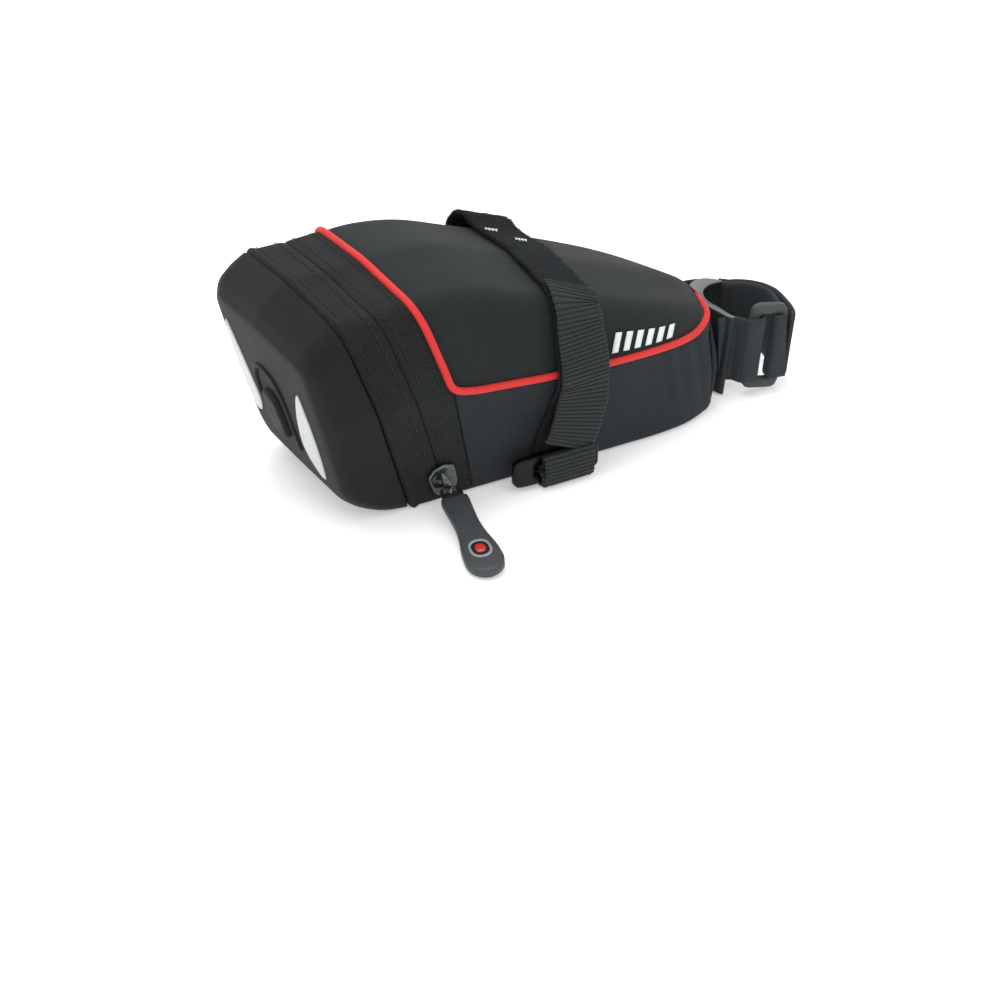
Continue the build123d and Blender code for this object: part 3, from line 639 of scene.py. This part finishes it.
STITCH_PITCH = 2.6
for name, x0, body in (("stitches_front", ZIP_X + 3.6, "bag"), ("stitches_front_edge", ZIP_X + 10.6, "bag"),
                       ("stitches_rear", ZIP_X - 3.4, "cap"), ("stitches_rear_edge", RIM_X + 4.2, "cap")):
    w = np.linspace(W_FLOOR + 0.01, 2 - W_FLOOR - 0.01, 2000)
    line = skin(plane_x(x0, w), w)
    s = lengths(line[:, None], 0)[:, 0]
    at = np.interp(np.arange(1.5, s[-1], STITCH_PITCH), s, w)
    p = skin(plane_x(x0, at), at)
    q = skin(plane_x(x0, at + 0.002), at + 0.002)
    n = skin_normal(plane_x(x0, at), at)
    stitches(name, p + n * 0.42, q - p, n, 1.7, 0.2, body=body, slot="band_fabric", look="thread")

# ---------- rear cap
FACET_X, FACET_SLANT = -71.4, 0.289
FACET_OUT = unit(np.array((-1.0, 0, -FACET_SLANT)))
STATIONS = np.array([  # place, plane x, plane slope, b0, z0, b1, zb, b2, zs, zt, four radii
    (0.0, -49.2, .363, 31.5, 0.0, 41.5, 47.5, 38.5, 79.0, 82.5, 3, 18, 11, 40),
    (0.5, -60.0, .330, 33.0, 1.9, 39.7, 45.8, 38.1, 74.3, 77.2, 6, 20, 9, 40),
    (0.9, -68.6, .295, 33.0, 6.4, 36.6, 42.6, 36.0, 69.3, 71.6, 8, 22, 7, 40),
    (1.0, -70.6, .289, 31.8, 8.2, 34.9, 42.0, 34.4, 67.2, 69.2, 7.5, 22, 6.5, 40)])


def bulge(y, z):
    """How far the rear face swells out of its plane."""
    return 1.7 * np.clip(1 - (y / 36) ** 2, 0, 1) * np.clip(1 - ((z - 38) / 32) ** 2, 0, 1)


def on_facet(y, z, out=0.0):
    y, z = np.asarray(y, float), np.asarray(z, float)
    p = np.stack([FACET_X - FACET_SLANT * z, y, z], -1)
    return p + FACET_OUT * (bulge(y, z) + out)[..., None]


def cap_ring(k, w):
    """A ring round the cap, from its rim at k = 0 to the edge of its rear face at k = 1."""
    x0, slope, b0, z0, b1, zb, b2, zs, zt, r0, r1, r2, r3 = hermite(STATIONS, k)
    half = half_outline(b0, b1, zb, b2, zs, zt, (r0, r1, r2, r3), z0)
    t = np.where(w <= 1, w, 2 - w) * (len(half) - 1)
    y = np.interp(t, np.arange(len(half)), half[:, 0]) * np.where(w <= 1, -1, 1)
    z = np.interp(t, np.arange(len(half)), half[:, 1])
    return np.stack([x0 - slope * z, y, z], -1)


w = np.linspace(0, 2, 240, endpoint=False)
rows = [cap_ring(k, w) for k in (0, .012, .03, .06, .12, .2, .3, .4, .5, .6, .7, .78, .85, .9, .94, .97, 1.0)]
n0 = unit(rows[2] - np.array((-62, 0, 38)))
rows[0] = rows[0] - n0 * 1.1  # the rim turns in beside the dark groove
rows[1] = rows[1] - n0 * 0.25
y, z = rows[-1][:, 1], rows[-1][:, 2]
for f in (0.975, 0.94, 0.9, 0.8, 0.68, 0.54, 0.4, 0.26, 0.13, 0.04):
    rows.append(on_facet(y * f, 38 + (z - 38) * f, -0.7 * np.clip((f - 0.9) / 0.1, 0, 1) ** 2))
cap = rings("rear_cap", rows, cap_start=False, body="cap", slot="cap_fabric", look="cap")
thicken(cap, 2.0)


def flat_path(points, count, closed=False):
    """smooth_path for an outline in a plane."""
    return smooth_path(np.column_stack([points, np.zeros(len(points))]), count, closed)[:, :2]


def patch(name, outline, height, shares=(1.0, 0.96, 0.86, 0.6, 0.3, 0.05), **how):
    """A raised piece on the rear face from a closed outline of (y, z)."""
    o = flat_path(outline, 64, closed=True)
    c = o.mean(0)
    made = [on_facet(o[:, 0], o[:, 1], -0.4)]
    for share, rise in zip(shares, (0.35, 0.9, 1, 1, 1, 1)):
        q = c + (o - c) * share
        made.append(on_facet(q[:, 0], q[:, 1], height * rise))
    return rings(name, made, cap_start=False, body="cap", **how)


# the blades' points are given along the leaning face
SL = sqrt(1 + FACET_SLANT ** 2)
blade = np.array([(-24.6, 40.0), (-21.0, 34.0), (-16.5, 22.0), (-14.5, 12.0), (-16.5, 5.5), (-20.0, 1.5),
                  (-22.4, 1.0), (-25.0, 8.0), (-26.4, 18.0), (-26.4, 30.0)])
blade[:, 1] = 13.5 + blade[:, 1] / SL
for k, node, shift in ((1, "reflector_right", (1.2, 0.2)), (-1, "reflector_left", (3.8, 6.0))):
    patch(node, blade * (k, 1) + shift, 0.55, slot="reflective", look="film")
arch = np.array([(-10.2, 18.9), (-10.4, 28), (-10.0, 40.5), (-6.8, 46.2), (0, 48.2), (6.8, 46.2),
                 (10.0, 40.5), (10.4, 28), (10.2, 18.9)]) + (1.5, 2.4)
path = flat_path(arch, 90)
tube("light_arch", on_facet(path[:, 0], path[:, 1]), 1.0, body="cap", slot="light_mount_rubber", look="cap")
loop = np.array([(-5, 22), (-5, 37), (-3.2, 38.8), (3.2, 38.8), (5, 37), (5, 22), (3.2, 20.6), (-3.2, 20.6)])
patch("light_loop", loop + (1.5, 2.6), 2.2, (0.99, 0.94, 0.84, 0.6, 0.3, 0.05), slot="light_mount_rubber",
      look="light_rubber")

# ---------- piping
PIPING_R = 1.35


def piping_half():
    """The right half of the piping, from the nose along the belt line and up over the crown."""
    run = [(84.3, 0, 37.6), (84.0, -6, 37.5), (82.9, -12, 37.2)]
    for x in (82.5, 80, 74, 66, 55, 40, 20, 0, -18, -29):
        run.append(tuple(skin(x, W_BELT) + skin_normal(x, W_BELT) * 0.5))
    run.append((-36.0, -41.8, 48.4))
    for w in np.concatenate([np.linspace(W_BELT + 0.06, KNOTS[5], 4), np.linspace(KNOTS[5], 1.0, 14)[1:]]):
        x = plane_x(PIPING_X, w)
        run.append(tuple(skin(x, w) + skin_normal(x, w) * 0.5))
    return np.array(run)


right = piping_half()
whole = np.vstack([right, (right * (1, -1, 1))[::-1][1:-1]])
tube("piping", smooth_path(whole, 420, closed=True), PIPING_R, sides=14, closed=True, body="bag",
     slot="piping_red", look="piping")

# ---------- saddle strap
STRAP_X, STRAP_LOW, WEBBING = 13.7, -6.1, 20.0


def laid(steps):
    """Strap points on the skin and the direction of its width there. A step is a corner, the share of the
    way round it, how far off the skin and how far forward."""
    rows = []
    for corner, t, lift, shift in steps:
        w = W_CORNER[corner][0] + (W_CORNER[corner][1] - W_CORNER[corner][0]) * t
        x = STRAP_X + shift
        p = skin(x, w) + skin_normal(x, w) * lift
        rows.append(np.concatenate([p, unit(skin(x + 9, w) - skin(x - 9, w))]))
    return rows


def off_skin(points):
    """Strap points beside the wall, as x from the strap's line, y and z, with the width along x."""
    return [np.array((STRAP_X + dx, y, z, 1.0, 0, 0)) for dx, y, z in points]


behind_ring = [(STRAP_LOW, -43.0, 13.2), (STRAP_LOW, -43.0, 9.3), (STRAP_LOW, -42.1, 8.2),
               (STRAP_LOW, -40.2, 7.95), (STRAP_LOW, -38.2, 8.3), (STRAP_LOW, -37.3, 9.6),
               (-5.2, -37.4, 16.0), (-3.0, -38.4, 23.0), (-0.8, -39.8, 31.0)]
over = [(1, 0.0, 3.1, 0), (1, 0.5, 3.1, 0), (1, 1.0, 2.9, 0), (2, 0.0, 1.9, 0), (2, 0.25, 1.9, 0),
        (2, 0.5, 1.9, 0), (2, 0.75, 1.9, 0.4), (2, 1.0, 1.9, 1.2), (3, 0.0, 1.9, 2.6), (3, 0.5, 1.9, 3.2),
        (3, 1.0, 2.0, 3.2), (4, 0.0, 3.2, 2.8), (4, 0.25, 5.3, 2.4), (4, 0.5, 7.2, 1.8),
        (4, 0.75, 6.8, 1.2), (4, 1.0, 4.6, 0.6), (5, 0.0, 3.2, 0), (5, 0.5, 3.2, 0), (5, 1.0, 3.0, 0),
        (6, 0.0, 0.9, 0)]
p = smooth_path(off_skin(behind_ring) + laid(over), 420)
strap_path, strap_across = p[:, :3], p[:, 3:]


def ribbed(s, a):
    """Cross ribs of webbing, flatter in a groove near each edge."""
    rib = 0.5 - 0.5 * np.cos(2 * pi * (s / 1.5))
    groove = np.exp(-((abs(a) - 0.78) / 0.035) ** 2)
    return 0.34 * rib ** 0.7 * (1 - 0.7 * groove) - 0.2


def brushed(s, a):
    """Uneven pile."""
    return 0.16 * noise2(s * 1.3, a * 12, 41, 4) + 0.1 * noise2(s * 4, a * 30, 42, 3)


def half_ribbed(s, a):
    return 0.5 * ribbed(s, a)


def webbing(name, steps, count, thick, width=WEBBING, relief=ribbed, **how):
    """A piece of the saddle's webbing through strap points."""
    p = smooth_path(steps, count)
    return ribbon(name, p[:, :3], p[:, 3:], width, thick, relief, 31, slot="webbing", look="webbing", **how)


strap_main = ribbon("saddle_strap", strap_path, strap_across, WEBBING, 1.6, brushed, body="bag",
                    slot="loop_tape", look="loop")
LAYER = 2.2
tab_steps = off_skin([(STRAP_LOW, -43.0, 14.3), (-4.4, -43.3, 18.0), (-2.4, -43.5, 24.0),
                      (-0.6, -43.6, 31.0)])
tab_steps += laid([(c, t, lift + LAYER - (0.4 if c == 2 else 0), s) for c, t, lift, s in over[:6]]
                  + [(2, 0.75, 3.7, 0.8), (2, 0.98, 3.7, 1.6)])
strap_flap = webbing("saddle_strap_tab", tab_steps, 520, 1.5, body="saddle_tab")
anchor = [(-32.9, 1.6), (-37.6, 0.95), (-40.2, 0.9), (-42.3, 1.2), (-43.0, 2.8), (-42.9, 4.7), (-42.0, 5.6),
          (-40.2, 5.8), (-37.9, 5.2), (-33.4, 3.5)]
fold = webbing("buckle_anchor", off_skin((STRAP_LOW, y, z) for y, z in anchor), 90, 1.3, relief=half_ribbed,
               body="bag")
wrap = [(-43.5, 13.0), (-44.5, 11.9), (-45.0, 9.0), (-44.8, 5.0), (-44.2, 2.4), (-42.8, 1.1)]
turn = webbing("strap_wrap", off_skin((STRAP_LOW, y, z) for y, z in wrap), 110, 1.4, width=19.6, body="bag")

# loose fibres, most of them along the brushed tape's edges, and the two bar tacks on top
FIBRES = 2600
along, across, out = frames(strap_path, strap_across)
verts, faces = [], []
pick = np.where(strap_path[:, 2] > 58)[0]
for _ in range(FIBRES):
    i = rng.choice(pick)
    side = rng.choice((-1, 1))
    edge_bias = rng.random() < 0.75
    a = side * (WEBBING / 2 if edge_bias else rng.uniform(0, 10))
    p0 = strap_path[i] + across[i] * a + along[i] * rng.uniform(-0.4, 0.4) + out[i] * rng.uniform(-0.5, 0.8)
    d = unit(across[i] * (side * rng.uniform(0.2, 1.3) if edge_bias else rng.normal(0, 0.6))
             + along[i] * rng.normal(0, 0.8) + out[i] * rng.uniform(0.0, 0.9))
    length, bow = rng.uniform(0.4, 1.5), unit(rng.normal(0, 1, 3)) * 0.25
    thin = unit(np.cross(d, rng.normal(0, 1, 3))) * rng.uniform(0.04, 0.075)
    base = len(verts)
    for t in (0.0, 0.5, 1.0):
        c = p0 + d * length * t + bow * t * t * length
        verts += [c - thin * (1 - 0.7 * t), c + thin * (1 - 0.7 * t)]
    faces += [(base, base + 1, base + 3, base + 2), (base + 2, base + 3, base + 5, base + 4)]
fuzz = mesh_object("strap_fuzz", verts, faces, np.zeros((len(verts), 3)))
finish_piece(fuzz, "strap_fuzz", "bag", "loop_tape", "loop", smooth=False)
c, d, n = [], [], []
for x, y, reach in ((12.0, 18.5, 4.6), (19.3, 10.0, 4.2)):
    i = np.argmin(abs(strap_path[:, 1] - y) + 100 * (strap_path[:, 2] < 60))
    mid = strap_path[i] + across[i] * (x - strap_path[i][0]) / across[i][0] + out[i] * 0.95
    for k in range(7):
        t = (k / 6 - 0.5) * reach
        c.append(mid + across[i] * t + along[i] * 0.35 * (-1) ** k)
        d.append(along[i] + across[i] * 0.45 * (-1) ** k)
        n.append(out[i])
stitches("strap_tacks", np.array(c), np.array(d), np.array(n), 1.7, 0.3, body="bag",
         slot="tack_thread", look="white")


# ---------- ring buckles
def superring(cx, hx, hz, power):
    """A rectangle with corners rounder the smaller the power, from its middle and half sizes."""
    q = np.linspace(0, 2 * pi, 120, endpoint=False)
    x, z = signed_power(np.cos(q), 2 / power), signed_power(np.sin(q), 2 / power)
    return np.column_stack([cx + hx * x, hz * z])


def buckle(name, outer, inner, thick, place, across, up, out, **how):
    """A flat ring between an outer and an inner outline, rounded by steps of f inward and h in thickness."""
    rows = []
    for f, h in ((0.0, 0.0), (0.0, 0.32), (0.10, 0.44), (0.26, 0.5), (0.74, 0.5), (0.90, 0.44), (1.0, 0.32),
                 (1.0, -0.32), (0.90, -0.44), (0.74, -0.5), (0.26, -0.5), (0.10, -0.44), (0.0, -0.32)):
        ring = outer + (inner - outer) * f
        rows.append(place + ring[:, :1] * across + ring[:, 1:] * up + out * h * thick)
    R = np.array(rows)
    return swept(name, R, np.zeros(R.shape), closed=True, **how)


lo, hi = [np.array(v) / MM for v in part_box("saddle_buckle")]
mid = (lo + hi) / 2
ring_o = superring(0, (hi[0] - lo[0]) / 2, (hi[2] - lo[2]) / 2, 7)
ring_i = superring(3.4, 11.5, (hi[2] - lo[2]) / 2 - 2.7, 9)
buckle("saddle_buckle", ring_o, ring_i, hi[1] - lo[1], mid, np.array((1.0, 0, 0)), np.array((0, 0, 1.0)),
       np.array((0, -1.0, 0)), body="bag", slot="buckle_plastic", look="gloss")

# ---------- seat post cradle and strap
C_O = np.array((82.49, 0, 1.6))
C_X, C_Y, C_Z = (np.array(v) for v in ((0.96983, -0.21501, -0.11494), (0.21644, 0.9763, 0.0),
                                       (0.11221, -0.02488, 0.99337)))
CRADLE_H, POST_R, POST_AT = 32.0, 12.9, 18.4


def cradle(points, z):
    """Points given in the cradle's own leaning axes, at heights z along the post."""
    p = np.asarray(points, float)
    z = np.broadcast_to(np.asarray(z, float), (len(p),))
    return C_O + p[:, :1] * C_X + p[:, 1:2] * C_Y + z[:, None] * C_Z


def on_post(radius, degrees):
    a = radians(degrees)
    return (POST_AT + radius * cos(a), radius * sin(a))


outer = [(17.2, 13.5), (16.8, 14.2), (14.8, 15.6), (11.0, 16.6), (7.4, 15.6), (4.2, 12.8), (1.6, 8.6),
         (0, 3.5), (0, 0.5), (0, -2.4), (1.0, -4.4), (3.6, -6.6), (5.2, -9.2), (8.9, -15.9), (9.9, -16.6),
         (10.6, -16.4)]
inner = [on_post(POST_R, a) for a in range(97, 213, 5)] + [(10.2, -14.1), (11.2, -15.7)]
outer, inner = flat_path(outer, 90), flat_path(inner, 90)
# sections across the cradle's wall, with round edges. The last edge, inner and upper, runs the other way
# round, so the section folds over itself there
rows = []
for a, b in zip(inner, outer):
    r = min(0.9, 0.45 * np.linalg.norm(b - a))
    d = unit(b - a)
    ring = []
    for corner, away, z, up in ((a, -d, 0, -1), (b, d, 0, -1), (b, d, CRADLE_H, 1), (a, -d, CRADLE_H, 1)):
        for k in range(5):
            q = pi / 2 * k / 4
            c, h = (sin(q), cos(q)) if corner is b and z == 0 else (cos(q), sin(q))
            ring.append((corner - away * r + away * r * c, z - up * r + up * r * h))
    rows.append(cradle([q[0] for q in ring], [q[1] for q in ring]))
rings("post_cradle", rows, body="cradle", slot="cradle_rubber", look="cradle")

CLIMB_X, CLIMB_Y = 0.13, -0.05


def strap_line(points, count):
    """The post strap's route. It climbs a little as it goes round."""
    p = np.array(points, float)
    p3 = cradle(p, CRADLE_H / 2 + CLIMB_X * p[:, 0] + CLIMB_Y * p[:, 1])
    return smooth_path(p3, count)


RUN = POST_R + 1.0  # radius of the strap's middle round the post
near_path = [(6.9, -14.2), (9.5, -14.3), (12.6, -15.2), (14.8, -17.8), (16.4, -19.3), (20.6, -19.3),
             (21.6, -18.2), (21.6, -16.4), (21.6, -14.8)]
far_path = [(-0.6, 8.6), (-0.4, 15.6), (3.6, 20.2), (10.0, 20.6), (14.6, 18.4), (17.8, 15.6)]
far_path += [on_post(RUN, a) for a in range(76, 3, -8)]
far_path += [(31.8, -5.0), (31.0, -9.6), (29.8, -12.2), (28.3, -13.4), (27.0, -14.0), (26.6, -15.4),
             (26.6, -16.6), (26.6, -18.6), (27.7, -19.4), (31.2, -19.4)]
tab_path = [(32.3, -19.3), (33.4, -17.2), (34.3, -13.0), (34.7, -6.0)]
tab_path += [on_post(RUN + 2.3, a) for a in range(5, 80, 8)] + [(19.3, 17.4)]


def fine_weave(s, a):
    return 0.05 * np.cos(2 * pi * s / 1.1) * (1 + 0.4 * np.cos(a * 24)) - 0.02


for name, line, count, body in (("post_strap", near_path, 60, "cradle"),
                                ("post_strap_far", far_path, 220, "cradle"),
                                ("post_strap_tab", tab_path, 220, "post_tab")):
    p = strap_line(line, count)
    piece = ribbon(name, p, np.broadcast_to(C_Z, p.shape), 25.0, 1.7, fine_weave, 25, body=body,
                   slot="post_webbing", look="post_web")
place = cradle([(24.0, -16.4)], CRADLE_H / 2 + CLIMB_X * 24.0 + CLIMB_Y * -16.4)[0]
buckle("post_buckle", superring(0, 7.4, 17.0, 6), superring(0, 3.8, 13.2, 8), 3.6, place, C_X, C_Z, -C_Y,
       body="cradle", slot="post_buckle_plastic", look="satin")

# ---------- zip slider, link and puller
SIDE_OUT = unit(np.array((0, -47.5, -10.0)))
ZIP_UP = unit(np.array((-SLANT * 47.5, -10.0, 47.5)))
ACROSS = np.cross(ZIP_UP, SIDE_OUT)
SEAT = np.array((ZIP_X - SLANT * 11.0, -31.5 - 11.0 * 10 / 47.5, 11.0))


def slider_point(a, u, o):
    """A point on the slider: across the zip, up along it and out from the wall."""
    return SEAT + ACROSS * a + ZIP_UP * u + SIDE_OUT * o


shield = flat_path([(0, 6.7), (2.3, 6.5), (3.4, 5.6), (5.1, 4.3), (5.3, 2.8), (5.1, 0), (4.9, -2.6),
                    (4.3, -4.8), (3.0, -6.2), (0, -6.5), (-3.0, -6.2), (-4.2, -4.8), (-4.8, -2.6), (-5.0, 0),
                    (-5.1, 2.8), (-4.9, 4.3), (-3.4, 5.6), (-2.3, 6.5)], 96, closed=True)
levels = ((1.0, 0.9), (1.0, 1.6), (0.975, 2.0), (0.92, 2.2), (0.85, 2.28), (0.72, 2.1), (0.5, 2.15),
          (0.25, 2.3), (0.05, 2.4))  # share of the outline, and height off the wall
rows = [[slider_point(a * f, u * f, o) for a, u in shield] for f, o in levels]
rings("zip_slider", rows, body="slider", slot="gunmetal", look="gunmetal")
bridge = ((5.2, 1.9), (4.9, 3.5), (3.4, 4.9), (1.4, 5.6), (-1.0, 5.8), (-3.6, 5.5), (-5.2, 4.4), (-5.6, 1.9))
bridge = smooth_path([slider_point(0, u, o) for u, o in bridge], 40)
t = np.linspace(-1, 1, 40)
tube("zip_slider_bridge", bridge, 0.55 + 0.8 * np.exp(-((t + 0.35) / 0.42) ** 2), sides=16,
     squash=(1.15, 0.6), body="slider", slot="gunmetal", look="gunmetal")

PIVOT = slider_point(0.3, -3.6, 3.5)
TIP = np.array((-47.6, -85.6, 2.7))
DOWN = unit(TIP - PIVOT)
level = ACROSS * (1, 1, 0.3)
P_AX = unit(level - DOWN * (level @ DOWN))
P_UP = np.cross(P_AX, DOWN)
P_UP = P_UP * np.sign(P_UP[2])
PULL_LEN = np.linalg.norm(TIP - PIVOT)


def pull_point(a, s, up=0.0):
    """A point on the pull: across it, down it from the pivot and out of its face."""
    return PIVOT + P_AX * a + DOWN * s + P_UP * up


link = ((-2.9, 9.0), (-2.9, 6.0), (-2.9, 1.2), (-2.0, 0.2), (0, 0.0), (2.0, 0.2), (2.9, 1.2), (2.9, 6.0),
        (2.9, 9.0))
tube("pull_link", smooth_path([pull_point(a, s) for a, s in link], 60), 0.72, body="pull",
     slot="gunmetal", look="gunmetal")
KNUCKLE_AT, KNUCKLE_R = 5.2, 1.5
middle = pull_point(0, KNUCKLE_AT)
knuckle = []
for a, share in ((-4.0, 0.86), (-3.7, 1), (-2.4, 1), (0, 1), (2.4, 1), (3.7, 1), (4.0, 0.86)):
    ring = [pull_point(a, KNUCKLE_AT + KNUCKLE_R * cos(q), KNUCKLE_R * sin(q))
            for q in np.linspace(0, 2 * pi, 24, endpoint=False)]
    knuckle.append([middle + (p - middle) * share for p in ring])
rings("pull_knuckle", knuckle, body="pull", slot="puller_rubber", look="light_rubber")
# the puller's half width at places down it
widths = [(6.5, 4.5), (6.9, 4.75), (8.5, 4.85), (12, 4.75), (16.5, 4.5), (22.5, 4.4), (29.0, 5.0),
          (35.0, 6.1), (40.0, 6.6), (44.0, 6.55), (47.2, 5.5), (49.4, 3.3), (50.2, 1.4)]
outline = [(half, down) for down, half in widths] + [(0.0, PULL_LEN)]
outline += [(-half, down) for down, half in widths[::-1]] + [(0, 6.3)]
outline = flat_path(outline, 150, closed=True)
mid_line = np.column_stack([0 * outline[:, 0], np.clip(outline[:, 1], 10, 43)])
rows = []
for inset, h in ((1.2, -1.8), (0.5, -1.75), (0.0, -1.2), (0.0, 0.9), (0.25, 1.35), (0.8, 1.62), (1.5, 1.7),
                 (3.0, 1.72)):
    v = outline - mid_line
    r = np.linalg.norm(v, axis=1, keepdims=True) + 1e-9
    o = mid_line + v * np.clip(1 - inset / r, 0.02, 1)
    rows.append([pull_point(a, s, h) for a, s in o])
rings("puller", rows, body="pull", slot="puller_rubber", look="puller")
BADGE_AT, BADGE_LONG, BADGE_WIDE = 38.0, 4.9, 3.9


def badge_oval(share, h):
    return [pull_point(BADGE_WIDE * share * signed_power(cos(q), 0.85),
                       BADGE_AT + BADGE_LONG * share * signed_power(sin(q), 0.85), h)
            for q in np.linspace(0, 2 * pi, 64, endpoint=False)]


for name, r_out, r_in, h, look, node in (("badge_ring", 1.0, 0.78, 2.05, "grey_enamel", "puller_badge"),
                                         ("badge_ground", 0.80, 0.0, 1.86, "light_rubber", None),
                                         ("badge_dot", 0.46, 0.0, 2.15, "red_enamel", None)):
    rows = [badge_oval(r_out, 1.5), badge_oval(r_out, h - 0.1), badge_oval(r_out - 0.04, h)]
    if r_in:
        rows += [badge_oval(r_in + 0.04, h), badge_oval(r_in, h - 0.1), badge_oval(r_in, 1.5)]
    else:
        rows.append(badge_oval(0.1, h + 0.04))
    rings(name, rows, cap_start=False, cap_end=not r_in, body="pull", node=node, slot="badge", look=look)

# ---------- inner pieces keep their CAD shape
for node, mat in (("foam_wall", "foam"), ("lining", "lining"), ("cap_lining", "lining"),
                  ("zip_coil_front", "coil"), ("zip_coil_rear", "coil"), ("cap_hinge_strip", "band"),
                  ("cradle_strip", "post_web")):
    nodes[node].data.materials.clear()
    nodes[node].data.materials.append(mats[mat])

# a plain row of slanted bars on the right shoulder
BARS, BAR_PITCH, BAR_HALF, BAR_LEAN = 6, 5.2, 1.4, 2.6
verts, faces = [], []
for bar in range(BARS):
    first = len(verts)
    for t in np.linspace(0, 1, 8):
        w = W_BELT + 0.07 + 0.11 * t
        for half in (-BAR_HALF, BAR_HALF):
            x = 30.0 + BAR_PITCH * bar + half + BAR_LEAN * t
            verts.append(skin(x, w) + skin_normal(x, w) * 1.05)
    faces += [(k, k + 1, k + 3, k + 2) for k in range(first, len(verts) - 2, 2)]
marks = mesh_object("shoulder_bars", verts, faces, np.zeros((len(verts), 3)))
thicken(marks, 0.25, 0)
finish_piece(marks, "shoulder_bars", "bag", "reflective", "white")

# ---------- floor, light and camera
floor = mesh_object("floor", [(-3000, -3000, 0), (3000, -3000, 0), (3000, 3000, 0), (-3000, 3000, 0)],
                    [(0, 1, 2, 3)])
s = Shader("floor_white", Specular_IOR_Level=0.35, Emission_Color=(1, 1, 1, 1), Emission_Strength=0.3)
s.colour(s.mix(s.noise(0.8), (0.90, 0.90, 0.905, 1), (0.93, 0.93, 0.93, 1)))
s.rough(s.noise(1.5), 0.22, 0.28)
floor.data.materials.append(s.m)

world = bpy.data.worlds.new("studio")
bpy.context.scene.world = world
world.use_nodes = True
sky = world.node_tree.nodes["Background"].inputs
sky["Color"].default_value, sky["Strength"].default_value = (0.98, 0.99, 1.0, 1), 1.05


def lamp(name, place, target, size, power, colour=(1, 1, 1)):
    data = bpy.data.lights.new(name, "AREA")
    data.shape, data.size, data.energy, data.color = "DISK", size, power, colour
    o = add_object(name, data)
    o.location = place
    o.rotation_euler = (Vector(target) - Vector(place)).to_track_quat("-Z", "Y").to_euler()


lamp("key_top", (-0.15, 0.25, 1.3), (0, 0, 0.03), 0.9, 8.0)
lamp("left_fill", (-1.1, -0.35, 0.55), (-0.05, 0, 0.04), 0.7, 1.4)
lamp("front_soft", (0.1, -1.3, 0.9), (0, 0, 0.04), 0.5, 1.5)

view = bpy.context.scene.view_settings
view.view_transform = "Standard"
back_v = Vector((-0.4370, -0.7623, 0.4775))
right_v = Vector((0.8675, -0.4974, 0.0))
up_v = Vector((0.2375, 0.4143, 0.8786))
camera_data = bpy.data.cameras.new("camera")
camera_data.lens, camera_data.sensor_width = 117.56, 36.0
camera_data.shift_x, camera_data.shift_y = 0.0073, -0.1475
camera_data.clip_start, camera_data.clip_end = 0.05, 50
camera = add_object("camera", camera_data)
facing = Matrix((right_v, up_v, back_v)).transposed()
camera.matrix_world = Matrix.Translation(Vector((0, 0, 0.035)) + back_v * 1.150) @ facing.to_4x4()
bpy.context.scene.camera = camera
